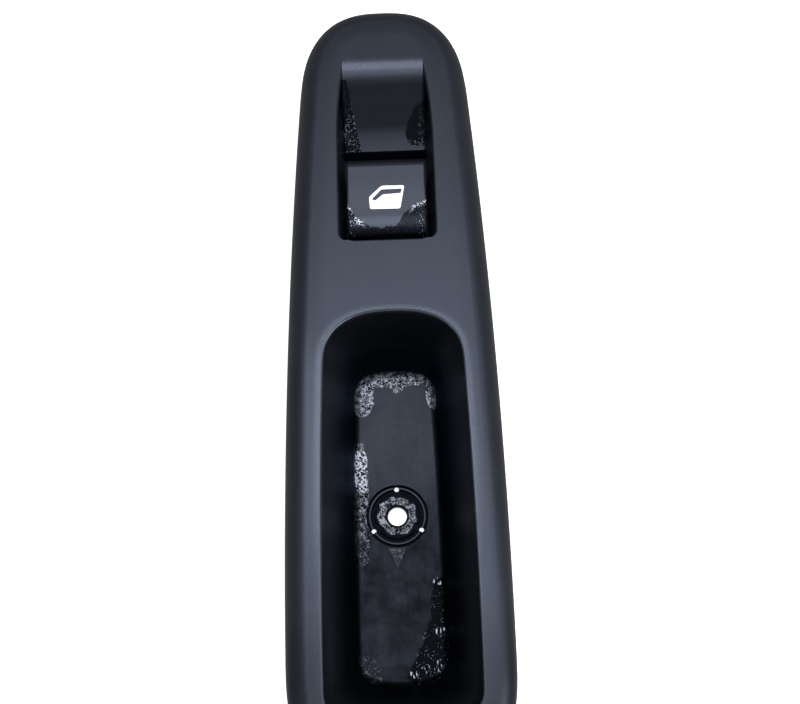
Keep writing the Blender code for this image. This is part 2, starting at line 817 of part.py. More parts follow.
def oval_reach(oval, x, end):
    """How far along Y an oval reaches at one x. End 1 is the head, and -1 the tail."""
    if end > 0:
        tip, reach, power = oval.head_y, oval.head_round, oval.head_power
    else:
        tip, reach, power = oval.tail_y, oval.tail_round, oval.tail_power
    across = x / oval_half_width(oval, tip)
    return tip - end * reach * (1 - (1 - across**power) ** (1 / power))


def rib_outline(edge, out, wall_low, wall_top):
    """A rib's section from an inner wall to the skirt's edge. Out is the sign of that way."""
    low = FACE_Z - RIB_DROP
    skin = [(edge - out * inset, z) for inset, z in panel_skin(WALL / 2, 4)[:-1] if z > low]
    skin = [(across, z) for across, z in skin if out * (across - wall_top) > 0]
    return [(wall_low, low), (skin[0][0], low), *skin, (wall_top, FACE_Z - WALL / 2)]


def make_cross_ribs(panel):
    """Ribs across the panel, from the skirt to the pocket's wall and to the bosses."""
    draft = POCKET_SIDE_DRAFT * RIB_DROP / POCKET_DEPTH
    boss_wall = BOSS_X + (BOSS_RADIUS + SCREW_RADIUS + SEAT_GAP) / 2
    walls = {}
    for y in RIB_STATIONS:
        wall = oval_half_width(RIM_OVAL, y) + WALL / 2
        walls[y] = (wall - draft, wall)
    for end in (-1, 1):
        walls[FLANGE_Y + end * BOSS_HALF_PITCH] = (boss_wall, boss_wall)
    for index, (y, wall) in enumerate(walls.items()):
        outline = rib_outline(oval_half_width(PANEL_OVAL, y), 1, *wall)
        for side in (-1, 1):
            section = [(side * x, z) for x, z in outline]
            name = f"cross_rib_{index}_{side}"
            join(panel, prism_along_y(name, section, y - RIB_HALF_THICK, y + RIB_HALF_THICK))


def make_long_ribs(panel):
    """Ribs along the panel: ahead of the scoop, between pocket and well, and behind the pocket."""
    low = FACE_Z - RIB_DROP
    top = FACE_Z - WALL / 2
    draft = POCKET_END_DRAFT * RIB_DROP / POCKET_DEPTH
    scoop = SCOOP_FRONT_Y - LONG_RIB_UNDER_SCOOP
    well = WELL_REAR_Y - WELL_WALL / 2
    front = oval_reach(RIM_OVAL, LONG_RIB_X, 1) + WALL / 2
    back = oval_reach(RIM_OVAL, LONG_RIB_X, -1) - WALL / 2
    sections = {
        "head": rib_outline(oval_reach(PANEL_OVAL, LONG_RIB_X, 1), 1, scoop, scoop),
        "middle": [(front - draft, low), (well, low), (well, top), (front, top)],
        "tail": rib_outline(oval_reach(PANEL_OVAL, LONG_RIB_X, -1), -1, back + draft, back),
    }
    for place, section in sections.items():
        for side in (-1, 1):
            x = side * LONG_RIB_X
            ends = (x - RIB_HALF_THICK, x + RIB_HALF_THICK)
            join(panel, prism(f"long_rib_{place}_{side}", section, *ends, axis="X"))


def make_panel():
    panel = make_panel_shell()
    join(panel, pocket_tub())
    make_bosses(panel)
    make_tabs(panel)
    make_cross_ribs(panel)
    make_long_ribs(panel)
    make_switch_well(panel)
    cut(panel, pocket_cutter())
    make_screw_seat(panel)
    return panel


# Panel clips


def make_clips():
    """U-shaped spring clips that grip the tabs: an open strip with a bulge on each leg."""
    half = TAB_THICK / 2 + SEAT_GAP + CLIP_STRIP / 2
    bottom = FACE_Z - TAB_BOTTOM_DROP - SEAT_GAP - CLIP_STRIP / 2
    leg = [
        (half, 0.0),
        (half + CLIP_BULGE * 0.35, CLIP_HEIGHT * 0.25),
        (half + CLIP_BULGE, CLIP_HEIGHT * 0.6),
        (half + CLIP_BULGE * 0.8, CLIP_HEIGHT * 0.72),
        (half, CLIP_HEIGHT * 0.9),
        (half + CLIP_BULGE * 0.2, CLIP_HEIGHT),
    ]
    profile = [(-a, h) for a, h in reversed(leg)] + leg
    for name, x, y, turned_round in clip_places():
        shape = bmesh.new()
        rows = [
            [shape.verts.new((across, a, bottom + h)) for a, h in profile]
            for across in (-CLIP_HALF_WIDTH, CLIP_HALF_WIDTH)
        ]
        for i in range(len(profile) - 1):
            shape.faces.new((rows[0][i], rows[0][i + 1], rows[1][i + 1], rows[1][i]))
        turn = Matrix.Rotation(math.radians(90 * turned_round), 4, "Z")
        bmesh.ops.transform(shape, matrix=Matrix.Translation((x, y, 0)) @ turn, verts=shape.verts)
        clip = from_bmesh(f"panel_clip_{name}", shape, SPRING_STEEL)
        sheet = clip.modifiers.new("sheet", "SOLIDIFY")
        sheet.thickness = CLIP_STRIP * MM
        sheet.offset = 0


# Switch housing


def make_housing():
    low = (-FLANGE_HALF_WIDTH, FLANGE_Y - FLANGE_HALF_LENGTH)
    high = (FLANGE_HALF_WIDTH, FLANGE_Y + FLANGE_HALF_LENGTH)
    flange = prism(
        "switch_housing",
        rounded_rectangle(low, high, 3.0, 4),
        FLANGE_BOTTOM_Z,
        FLANGE_TOP_Z,
        finish=BLACK_PLASTIC,
    )
    body = prism(
        "body_block",
        rounded_rectangle(
            (-BODY_HALF_WIDTH, BODY_Y - BODY_HALF_LENGTH),
            (BODY_HALF_WIDTH, BODY_Y + BODY_HALF_LENGTH),
            1.5,
            3,
        ),
        BODY_BOTTOM_Z,
        FLANGE_TOP_Z - 0.1,
    )
    room = prism(
        "body_room",
        rounded_rectangle(
            (-BODY_INNER_HALF_WIDTH, BODY_Y - BODY_INNER_HALF_LENGTH),
            (BODY_INNER_HALF_WIDTH, BODY_Y + BODY_INNER_HALF_LENGTH),
            0.5,
            2,
        ),
        BODY_BOTTOM_Z - 1,
        FLANGE_BOTTOM_Z,
    )
    turret = box(
        "turret",
        (-TURRET_HALF_WIDTH, PIVOT_Y - TURRET_HALF_LENGTH, FLANGE_TOP_Z - 1),
        (TURRET_HALF_WIDTH, PIVOT_Y + TURRET_HALF_LENGTH, TURRET_TOP_Z),
    )
    shaft_half = (TURRET_HALF_WIDTH - TURRET_WALL, TURRET_HALF_LENGTH - TURRET_WALL)
    shaft = box(
        "turret_shaft",
        (-shaft_half[0], PIVOT_Y - shaft_half[1], FLANGE_BOTTOM_Z - 1),
        (shaft_half[0], PIVOT_Y + shaft_half[1], TURRET_TOP_Z + 1),
    )
    join(flange, body)
    cut(flange, room)
    join(flange, bevel(turret, 0.6))
    for side in (-1, 1):
        reach = TURRET_HALF_WIDTH + STUB_LENGTH / 2 - 0.2
        join(
            flange,
            cylinder(
                f"pivot_stub_{side}",
                (side * reach, PIVOT_Y, PIVOT_Z),
                STUB_RADIUS,
                STUB_LENGTH + 0.4,
                axis="X",
            ),
        )
    for side in (-1, 1):
        inner = SLIDER_HALF_WIDTH + SLIDE_GAP
        ends = sorted((side * inner, side * (inner + RAIL_WALL)))
        join(
            flange,
            box(
                f"slider_rail_{side}",
                (ends[0], PIVOT_Y - SPRING_WALL_DISTANCE, BOARD_TOP_Z + SEAT_GAP),
                (ends[1], PIVOT_Y + SPRING_WALL_DISTANCE, FLANGE_BOTTOM_Z + 0.5),
            ),
        )
        near = PIVOT_Y + side * SPRING_WALL_DISTANCE
        ends = sorted((near, near + side * RAIL_WALL))
        join(
            flange,
            box(
                f"spring_wall_{side}",
                (-inner - RAIL_WALL, ends[0], BOARD_TOP_Z + PIN_ABOVE_BOARD + SEAT_GAP),
                (inner + RAIL_WALL, ends[1], FLANGE_BOTTOM_Z + 0.5),
            ),
            cylinder(
                f"wall_spigot_{side}",
                (0, near - side * (SPIGOT_LENGTH - 0.4) / 2, SLIDER_Z),
                SPIGOT_RADIUS,
                SPIGOT_LENGTH + 0.4,
                axis="Y",
                sides=12,
            ),
        )
    cut(flange, shaft)
    for index, (x, y) in enumerate(boss_places(), 1):
        hole = cylinder(
            f"flange_hole_{index}",
            (x, y, FLANGE_BOTTOM_Z + FLANGE_THICK / 2),
            SCREW_RADIUS + SEAT_GAP,
            2 * FLANGE_THICK,
            sides=16,
        )
        cut(flange, hole)
    for x, y, side in loop_places():
        half = LOOP_HALF_WIDTH - LOOP_BAR
        name = f"catch_{side}_{round(y)}"
        join(flange, prism_along_y(name, catch_wedge(side), y - half, y + half))
    return flange


def prism_along_y(name, outline, low, high, finish=None):
    """An (x, z) outline pushed along Y."""
    rings = [[(x, y, z) for x, z in outline] for y in (low, high)]
    return loft(name, rings, finish)


def loop_places():
    return [
        (side * BODY_HALF_WIDTH, BODY_Y + end * LOOP_OFFSET, side)
        for side in (-1, 1)
        for end in (-1, 1)
    ]


def catch_wedge(side):
    """A ramp on the housing's wall that a snap loop climbs and locks over."""
    wall = BODY_HALF_WIDTH - 0.2
    top = COVER_BOTTOM_Z + LOOP_HEIGHT - LOOP_BAR - SEAT_GAP
    return [
        (side * wall, top - CATCH_HEIGHT),
        (side * (wall + 0.4), top - CATCH_HEIGHT),
        (side * (wall + 0.2 + CATCH_DEPTH), top),
        (side * wall, top),
    ]


# Base cover with the connector shroud


def make_cover():
    low = (-BODY_HALF_WIDTH, BODY_Y - BODY_HALF_LENGTH)
    high = (BODY_HALF_WIDTH, BODY_Y + BODY_HALF_LENGTH)
    plate = prism(
        "base_cover",
        rounded_rectangle(low, high, 1.5, 3),
        COVER_BOTTOM_Z,
        COVER_TOP_Z,
        finish=BLACK_PLASTIC,
    )
    outer = (BODY_INNER_HALF_WIDTH - SEAT_GAP, BODY_INNER_HALF_LENGTH - SEAT_GAP)
    inner = (outer[0] - COVER_LIP_WALL, outer[1] - COVER_LIP_WALL)
    lip = box(
        "cover_lip",
        (-outer[0], BODY_Y - outer[1], COVER_TOP_Z - 0.5),
        (outer[0], BODY_Y + outer[1], COVER_LIP_Z),
    )
    lip_room = box(
        "cover_lip_room",
        (-inner[0], BODY_Y - inner[1], COVER_TOP_Z),
        (inner[0], BODY_Y + inner[1], COVER_LIP_Z + 1),
    )
    shroud = prism(
        "shroud",
        rounded_rectangle(
            (-SHROUD_HALF_WIDTH, PIN_Y - SHROUD_HALF_LENGTH),
            (SHROUD_HALF_WIDTH, PIN_Y + SHROUD_HALF_LENGTH),
            SHROUD_CORNER,
            3,
        ),
        SHROUD_BOTTOM_Z,
        COVER_BOTTOM_Z + 0.5,
    )
    room_half = (SHROUD_HALF_WIDTH - SHROUD_WALL, SHROUD_HALF_LENGTH - SHROUD_WALL)
    shroud_room = prism(
        "shroud_room",
        rounded_rectangle(
            (-room_half[0], PIN_Y - room_half[1]),
            (room_half[0], PIN_Y + room_half[1]),
            SHROUD_CORNER - SHROUD_WALL / 2,
            3,
        ),
        SHROUD_BOTTOM_Z - 1,
        COVER_BOTTOM_Z,
    )
    join(plate, lip)
    cut(plate, lip_room)
    join(plate, shroud)
    for side in (-1, 1):
        x = side * SHROUD_HALF_WIDTH * 0.55
        rib = box(
            f"shroud_key_{side}",
            (x - SHROUD_KEY / 2, PIN_Y + SHROUD_HALF_LENGTH - 0.3, SHROUD_BOTTOM_Z),
            (x + SHROUD_KEY / 2, PIN_Y + SHROUD_HALF_LENGTH + SHROUD_KEY, COVER_BOTTOM_Z + 0.5),
        )
        join(plate, rib)
    cut(plate, shroud_room)
    for index, x in enumerate(pin_places(), 1):
        slot = box(
            f"pin_slot_{index}",
            (x - PIN_HALF - SEAT_GAP, PIN_Y - PIN_HALF - SEAT_GAP, COVER_BOTTOM_Z - 1),
            (x + PIN_HALF + SEAT_GAP, PIN_Y + PIN_HALF + SEAT_GAP, COVER_TOP_Z + 1),
        )
        cut(plate, slot)
    for index, (x, y) in enumerate(post_places(), 1):
        top = BOARD_TOP_Z - 0.1
        post = cylinder(
            f"board_post_{index}",
            (x, y, (COVER_TOP_Z - 0.5 + top) / 2),
            POST_RADIUS,
            top - COVER_TOP_Z + 0.5,
            sides=12,
        )
        join(plate, post)
    for x, y, side in loop_places():
        near = x + side * SEAT_GAP
        ends = sorted((near, near + side * LOOP_WALL))
        foot = sorted((x - side * 1.0, near + side * LOOP_WALL))
        tag = f"{side}_{round(y)}"
        wall = box(
            f"loop_{tag}",
            (ends[0], y - LOOP_HALF_WIDTH, COVER_BOTTOM_Z),
            (ends[1], y + LOOP_HALF_WIDTH, COVER_BOTTOM_Z + LOOP_HEIGHT),
        )
        root = box(
            f"loop_root_{tag}",
            (foot[0], y - LOOP_HALF_WIDTH, COVER_BOTTOM_Z),
            (foot[1], y + LOOP_HALF_WIDTH, COVER_TOP_Z),
        )
        window_half = LOOP_HALF_WIDTH - LOOP_BAR + SEAT_GAP
        window = box(
            f"loop_window_{tag}",
            (ends[0] - 0.2, y - window_half, COVER_TOP_Z + 0.4),
            (ends[1] + 0.2, y + window_half, COVER_BOTTOM_Z + LOOP_HEIGHT - LOOP_BAR),
        )
        join(plate, root, wall)
        cut(plate, window)
    return plate


def pin_places():
    middle = (PIN_COUNT - 1) / 2
    return [(index - middle) * PIN_PITCH for index in range(PIN_COUNT)]


def post_places():
    rear = BODY_Y - BODY_INNER_HALF_LENGTH + 3.0
    return [(-POST_X, rear), (POST_X, rear)]


# Circuit board and what is soldered to it


def make_board():
    half = (BODY_INNER_HALF_WIDTH - SEAT_GAP, BODY_INNER_HALF_LENGTH - SEAT_GAP)
    board = box(
        "circuit_board",
        (-half[0], BODY_Y - half[1], BOARD_BOTTOM_Z),
        (half[0], BODY_Y + half[1], BOARD_TOP_Z),
        BOARD_LAMINATE,
    )
    for row, x in BRIDGE_ROWS.items():
        for station in (-1, 0, 1):
            y = PIVOT_Y + station * PAD_PITCH
            pad = box(
                f"pad_{row}_{station}",
                (x - BRIDGE_HALF_WIDTH - 0.2, y - PAD_HALF_LENGTH, BOARD_TOP_Z - 0.3),
                (x + BRIDGE_HALF_WIDTH + 0.2, y + PAD_HALF_LENGTH, BOARD_TOP_Z + PAD_HEIGHT),
            )
            join(board, pad)
    middle = (BOARD_TOP_Z + BOARD_BOTTOM_Z) / 2
    for index, x in enumerate(pin_places(), 1):
        hole = cylinder(
            f"board_hole_{index}",
            (x, PIN_Y, middle),
            PIN_HALF * math.sqrt(2) + SEAT_GAP,
            2 * BOARD_THICK,
            sides=10,
        )
        cut(board, hole)
    for index, (x, y) in enumerate(post_places(), 1):
        hole = cylinder(
            f"post_hole_{index}", (x, y, middle), POST_RADIUS + SEAT_GAP, 2 * BOARD_THICK, sides=12
        )
        cut(board, hole)


def make_components():
    for index, x in enumerate(pin_places(), 1):
        pin = box(
            f"terminal_pin_{index}",
            (x - PIN_HALF, PIN_Y - PIN_HALF, SHROUD_BOTTOM_Z + PIN_RECESS),
            (x + PIN_HALF, PIN_Y + PIN_HALF, BOARD_TOP_Z + PIN_ABOVE_BOARD),
            TINNED_BRASS,
        )
        bevel(pin, 0.12, 1)
    base = BOARD_TOP_Z + SEAT_GAP
    led = box(
        "backlight_led",
        (GUIDE_STEM_X - LED_HALF_WIDTH, PIVOT_Y - LED_HALF_LENGTH, base),
        (GUIDE_STEM_X + LED_HALF_WIDTH, PIVOT_Y + LED_HALF_LENGTH, base + LED_HEIGHT),
        LED_RESIN,
    )
    dome = turned(
        "led_dome",
        [(0.0, LED_DOME * 0.7), (LED_DOME * 0.7, LED_DOME * 0.45), (LED_DOME, -0.2), (0.0, -0.2)],
        (GUIDE_STEM_X, PIVOT_Y, base + LED_HEIGHT),
        sides=12,
    )
    join(led, dome)
    length, width, height = RESISTOR_SIZE
    for index, side in enumerate((-1, 1), 1):
        x = side * RESISTOR_X
        chip = box(
            f"resistor_{index}",
            (x - length / 2, RESISTOR_Y - width / 2, base),
            (x + length / 2, RESISTOR_Y + width / 2, base + height),
            RESISTOR_BLACK,
        )
        bevel(chip, 0.1, 1)


# Contact slider, contact bridges and return springs


def make_slider():
    slider = box(
        "contact_slider",
        (-SLIDER_HALF_WIDTH, PIVOT_Y - SLIDER_HALF_LENGTH, SLIDER_BOTTOM_Z),
        (SLIDER_HALF_WIDTH, PIVOT_Y + SLIDER_HALF_LENGTH, SLIDER_TOP_Z),
        WHITE_PLASTIC,
    )
    bevel(slider, 0.5)
    slot_half = (LEVER_HALF_WIDTH + SLIDE_GAP, LEVER_TIP_RADIUS + LEVER_GAP)
    slot = box(
        "lever_slot",
        (-slot_half[0], PIVOT_Y - slot_half[1], SLIDER_Z - LEVER_TIP_RADIUS - SEAT_GAP),
        (slot_half[0], PIVOT_Y + slot_half[1], SLIDER_TOP_Z + 1),
    )
    window_near = slot_half[0] + SLIDER_WINDOW_WALL
    window = box(
        "light_window",
        (window_near, PIVOT_Y - SLIDER_WINDOW_HALF_LENGTH, SLIDER_BOTTOM_Z - 1),
        (
            SLIDER_HALF_WIDTH - 1.5,
            PIVOT_Y + SLIDER_WINDOW_HALF_LENGTH,
            SLIDER_TOP_Z + 1,
        ),
    )
    for end in (-1, 1):
        y = PIVOT_Y + end * (SLIDER_HALF_LENGTH + (SPIGOT_LENGTH - 0.4) / 2)
        join(
            slider,
            cylinder(
                f"slider_spigot_{end}",
                (0, y, SLIDER_Z),
                SPIGOT_RADIUS,
                SPIGOT_LENGTH + 0.4,
                axis="Y",
                sides=12,
            ),
        )
    cut(slider, slot, window)
    return slider


def make_bridges():
    """Arched spring strips under the slider, with a turned-up toe at each end."""
    low = SLIDER_BOTTOM_Z - SEAT_GAP - BRIDGE_HEIGHT + BRIDGE_STRIP / 2
    rise = BRIDGE_HEIGHT - BRIDGE_STRIP
    half = [
        (0.0, rise),
        (BRIDGE_HALF_LENGTH * 0.35, rise),
        (BRIDGE_HALF_LENGTH * 0.62, rise * 0.35),
        (BRIDGE_HALF_LENGTH * 0.78, 0.0),
        (BRIDGE_HALF_LENGTH * 0.88, 0.0),
        (BRIDGE_HALF_LENGTH, rise * 0.4),
    ]
    profile = [(-y, z) for y, z in reversed(half[1:])] + half
    bridges = []
    for row, x in BRIDGE_ROWS.items():
        shape = bmesh.new()
        rows = [
            [shape.verts.new((x + side, PIVOT_Y + y, low + z)) for y, z in profile]
            for side in (-BRIDGE_HALF_WIDTH, BRIDGE_HALF_WIDTH)
        ]
        for i in range(len(profile) - 1):
            shape.faces.new((rows[0][i], rows[0][i + 1], rows[1][i + 1], rows[1][i]))
        bridge = from_bmesh(f"contact_bridge_{row}", shape, BRONZE)
        sheet = bridge.modifiers.new("sheet", "SOLIDIFY")
        sheet.thickness = BRIDGE_STRIP * MM
        sheet.offset = 0
        bridges.append(bridge)
    return bridges


def make_springs():
    """A coil on each side of the slider, between its spigot and the housing's."""
    for name, end in (("front", 1), ("rear", -1)):
        start = SLIDER_HALF_LENGTH + SEAT_GAP + SPRING_WIRE
        stop = SPRING_WALL_DISTANCE - SEAT_GAP - SPRING_WIRE
        line = bpy.data.curves.new(f"return_spring_{name}", "CURVE")
        line.dimensions = "3D"
        line.bevel_depth = SPRING_WIRE * MM
        line.bevel_resolution = 1
        line.use_fill_caps = True
        coil = line.splines.new("POLY")
        count = SPRING_TURNS * SPRING_STEPS
        coil.points.add(count)
        for k in range(count + 1):
            angle = 2 * math.pi * k / SPRING_STEPS
            y = PIVOT_Y + end * (start + (stop - start) * k / count)
            x = SPRING_RADIUS * math.cos(angle)
            z = SLIDER_Z + SPRING_RADIUS * math.sin(angle)
            coil.points[k].co = (x * MM, y * MM, z * MM, 1)
        line.materials.append(SPRING_STEEL)
        PARTS.objects.link(bpy.data.objects.new(f"return_spring_{name}", line))


# Rocker: cap, carrier and light guide


def rocker_profile():
    """Side view of the cap: front wall, lip, shallow dish, rolled rear and rear wall."""
    front = ROCKER_FRONT_Y
    rear = ROCKER_FRONT_Y - ROCKER_LENGTH
    top = FACE_Z + ROCKER_LIP_RISE
    bottom = FACE_Z - ROCKER_SKIRT
    lip = ROCKER_LIP_RADIUS
    points = [(front, bottom)]
    points += arc((front - lip, top - lip), lip, 0, 90, 4)
    dish_end = rear + ROCKER_ROLL_LENGTH
    steps = 6
    for step in range(1, steps + 1):
        share = step / steps
        y = front - lip + (dish_end - front + lip) * share
        fall = ROCKER_LIP_RISE * share
        points.append((y, top - fall - ROCKER_SAG * math.sin(math.pi * share)))
    roll_centre = (dish_end, FACE_Z - ROCKER_ROLL_DROP)
    points += arc(roll_centre, (ROCKER_ROLL_LENGTH, ROCKER_ROLL_DROP), 90, 180, 6)[1:]
    points.append((rear, bottom))
    return points


def make_cap():
    cap = prism(
        "rocker_cap",
        rocker_profile(),
        -ROCKER_HALF_WIDTH,
        ROCKER_HALF_WIDTH,
        axis="X",
        finish=KEY_PLASTIC,
    )
    bevel(cap, ROCKER_EDGE, 2, 60.0)
    front = ROCKER_FRONT_Y - ROCKER_WALL
    rear = ROCKER_FRONT_Y - ROCKER_LENGTH + ROCKER_WALL
    hollow = [
        (front, FACE_Z - ROCKER_SKIRT - 1),
        (front, CAP_UNDERSIDE_Z - 0.8),
        (front - 0.8, CAP_UNDERSIDE_Z),
        (rear + ROCKER_ROLL_LENGTH / 2, CAP_UNDERSIDE_Z),
        (rear, CAP_UNDERSIDE_Z - ROCKER_ROLL_DROP / 2),
        (rear, FACE_Z - ROCKER_SKIRT - 1),
    ]
    return cut(cap, prism("cap_room", hollow, -CAP_INNER_HALF, CAP_INNER_HALF, axis="X"))


def make_carrier():
    carrier = box(
        "rocker_carrier",
        (-CARRIER_HALF_WIDTH, PIVOT_Y - CARRIER_REACH + 1, CARRIER_BOTTOM_Z),
        (CARRIER_HALF_WIDTH, PIVOT_Y + CARRIER_REACH, CARRIER_TOP_Z),
        WHITE_PLASTIC,
    )
    for side in (-1, 1):
        ends = sorted((side * CARRIER_EAR_INNER, side * CARRIER_HALF_WIDTH))
        drop = PIVOT_Z
        outline = [(PIVOT_Y + CARRIER_EAR_HALF, CARRIER_TOP_Z - 0.3)]
        outline += [(PIVOT_Y - CARRIER_EAR_HALF, CARRIER_TOP_Z - 0.3)]
        outline += arc((PIVOT_Y, drop), STUB_RADIUS + 1.4, 180, 360, 10)
        ear = prism(f"carrier_ear_{side}", outline, ends[0], ends[1], axis="X")
        join(carrier, ear)
    bore = cylinder(
        "carrier_bore",
        (0, PIVOT_Y, PIVOT_Z),
        STUB_RADIUS + PIVOT_GAP,
        4 * CARRIER_HALF_WIDTH,
        axis="X",
    )
    lever = box(
        "lever",
        (-LEVER_HALF_WIDTH, PIVOT_Y - LEVER_HALF_THICK, LEVER_TIP_Z),
        (LEVER_HALF_WIDTH, PIVOT_Y + LEVER_HALF_THICK, CARRIER_BOTTOM_Z + 0.5),
    )
    tip = cylinder(
        "lever_tip",
        (0, PIVOT_Y, LEVER_TIP_Z),
        LEVER_TIP_RADIUS,
        2 * LEVER_HALF_WIDTH - 0.02,
        axis="X",
        sides=20,
    )
    stem_hole = cylinder(
        "stem_hole",
        (GUIDE_STEM_X, PIVOT_Y, CARRIER_BOTTOM_Z),
        GUIDE_STEM_RADIUS + SEAT_GAP,
        4 * CARRIER_WALL,
        sides=16,
    )
    cut(carrier, bore)
    join(carrier, lever, tip)
    cut(carrier, stem_hole)
    return carrier


def make_light_guide():
    guide = box(
        "light_guide",
        (-GUIDE_HALF_WIDTH, PIVOT_Y - GUIDE_HALF_LENGTH, GUIDE_BOTTOM_Z),
        (GUIDE_HALF_WIDTH + 0.6, PIVOT_Y + GUIDE_HALF_LENGTH, GUIDE_TOP_Z),
        CLEAR_PLASTIC,
    )
    bevel(guide, 0.25, 1)
    stem = cylinder(
        "guide_stem",
        (GUIDE_STEM_X, PIVOT_Y, (GUIDE_FOOT_Z + GUIDE_BOTTOM_Z + 0.5) / 2),
        GUIDE_STEM_RADIUS,
        GUIDE_BOTTOM_Z + 0.5 - GUIDE_FOOT_Z,
        sides=16,
    )
    join(guide, stem)
    return guide


def make_screws():
    """Pan-head screws from below, through the flange into the bosses."""
    head = SCREW_HEAD_HEIGHT
    profile = [
        (0.0, SCREW_LENGTH),
        (SCREW_RADIUS * 0.5, SCREW_LENGTH),
        (SCREW_RADIUS, SCREW_LENGTH - 1.5),
        (SCREW_RADIUS, 0.0),
        (SCREW_HEAD_RADIUS, 0.0),
        (SCREW_HEAD_RADIUS, -head * 0.4),
        (SCREW_HEAD_RADIUS * 0.75, -head * 0.85),
        (0.0, -head),
    ]
    for index, (x, y) in enumerate(boss_places(), 1):
        turned(
            f"housing_screw_{index}",
            profile,
            (x, y, FLANGE_BOTTOM_Z - SEAT_GAP),
            ZINC_STEEL,
            sides=16,
        )


def main():
    make_panel()
    make_clips()
    make_housing()
    make_cover()
    make_board()
    make_components()
    make_springs()
    make_screws()
    slider_rest = joint_empty("slider_travel", (0, PIVOT_Y, SLIDER_Z))
    hang(slider_rest, make_slider(), *make_bridges())
    rocker_axis = joint_empty("rocker_tilt", (0, PIVOT_Y, PIVOT_Z))
    hang(rocker_axis, make_cap(), make_carrier(), make_light_guide())


main()
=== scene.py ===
"""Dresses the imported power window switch: moulded panel, rocker key, module and studio.

The frame is in metres with +Z up. +Y runs along the panel towards the key, X runs across it, and
Z is zero under the pull pocket. Sizes below are in millimetres and become metres in the mesh
helpers.
"""

import json
import math
from collections import namedtuple

import bmesh
import bpy
from mathutils import Matrix, Vector


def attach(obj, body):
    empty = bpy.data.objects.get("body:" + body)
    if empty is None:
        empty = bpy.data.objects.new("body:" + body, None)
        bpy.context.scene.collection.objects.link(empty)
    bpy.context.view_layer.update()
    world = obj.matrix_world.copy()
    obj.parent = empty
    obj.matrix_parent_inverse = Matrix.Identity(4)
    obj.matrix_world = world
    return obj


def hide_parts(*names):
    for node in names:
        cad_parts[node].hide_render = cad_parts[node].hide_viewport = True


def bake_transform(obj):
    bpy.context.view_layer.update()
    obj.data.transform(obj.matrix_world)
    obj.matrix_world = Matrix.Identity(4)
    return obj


MM = 0.001

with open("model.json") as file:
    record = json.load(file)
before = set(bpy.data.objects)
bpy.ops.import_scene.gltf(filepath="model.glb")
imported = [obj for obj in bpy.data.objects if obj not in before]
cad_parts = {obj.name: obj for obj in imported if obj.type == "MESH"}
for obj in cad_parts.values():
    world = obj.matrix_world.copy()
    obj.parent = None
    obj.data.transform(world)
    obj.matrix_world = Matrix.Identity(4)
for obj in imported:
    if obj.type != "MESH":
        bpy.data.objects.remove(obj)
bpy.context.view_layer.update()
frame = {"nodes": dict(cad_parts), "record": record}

# Panel outline and section
Oval = namedtuple(
    "Oval",
    "half_width bow widest_y head_y head_round head_power tail_y tail_round tail_power",
)
PANEL_OVAL = Oval(29.1, 0.0002571, -58.0, 106.4, 25.8, 2.6, -106.4, 30.0, 2.7)
RIM_OVAL = Oval(19.5, 0.0003, -60.0, 13.2, 14.0, 2.5, -92.0, 9.5, 2.5)
FLOOR_OVAL = Oval(12.3, 0.0003, -60.0, 4.4, 7.5, 2.8, -82.2, 7.5, 2.8)
FACE_Z = 37.0
WALL = 2.3
SKIRT_DEPTH = 10.0
SKIRT_LAND = 2.0
SKIRT_DRAFT = 0.4
FLANK_WIDTH = 6.6
CROWN = 0.25
CROWN_WIDTH = 4.5
CROWN_STEPS = 5

# Pull pocket
POCKET_DEPTH = 34.0
POCKET_X = 0.45
POCKET_LIP = 0.55
POCKET_FILLET = 1.6
POCKET_FILLET_SWEEP = 84
POCKET_SIDE_DRAFT = 7.2
POCKET_END_DRAFT = 8.8
FLOOR_THICKNESS = 3.0
TUB_TOP_DEPTH = 1.2
TUB_FILLET = 3.6
LIP_TURN = math.radians(72.0)

# Screw seat
SEAT_Y = -36.5
SEAT_RADIUS = 8.6
SEAT_GROOVE_DEPTH = 1.7
SEAT_RING_OUTER = 8.1
SEAT_RING_INNER = 7.4
SEAT_PAD_RADIUS = 6.4
SEAT_PAD_DROP = 0.7
SEAT_CORNER = 0.18
SCREW_HOLE_RADIUS = 2.7
LUG_RADIUS = 1.3
LUG_WINDOW = 1.4
LUG_NOTCH_LENGTH = 4.0

# Rocker key
ROCKER_HALF_WIDTH = 10.7
ROCKER_FRONT_Y = 56.0
ROCKER_LENGTH = 21.4
ROCKER_LIP_RISE = 0.6
ROCKER_LIP_RADIUS = 1.5
ROCKER_SAG = 0.35
ROCKER_ROLL_LENGTH = 5.6
ROCKER_ROLL_DROP = 3.4
ROCKER_SKIRT = 8.5
ROCKER_WALL = 1.4
CAP_UNDERSIDE_Z = 35.2
KEY_EDGE = 0.55

# Well and scoop
WELL_HALF_WIDTH = 11.5
WELL_FLOOR_Z = 30.0
WELL_DEPTH = 7.0
WELL_DRAFT = 0.235
WELL_WALL = 1.8
WELL_REAR_Y = 33.4
WELL_CORNER = 2.6
WELL_LIP = 0.6
LIP_STEPS = 7
ABOVE_FACE = 0.35
SCOOP_REAR_Y = 62.7
SCOOP_FRONT_Y = 88.3
SCOOP_EDGE = 7.0
SCOOP_POWER = 2.2
SCOOP_FILLET = 1.2
SHIELD_BOTTOM_Z = 24.8

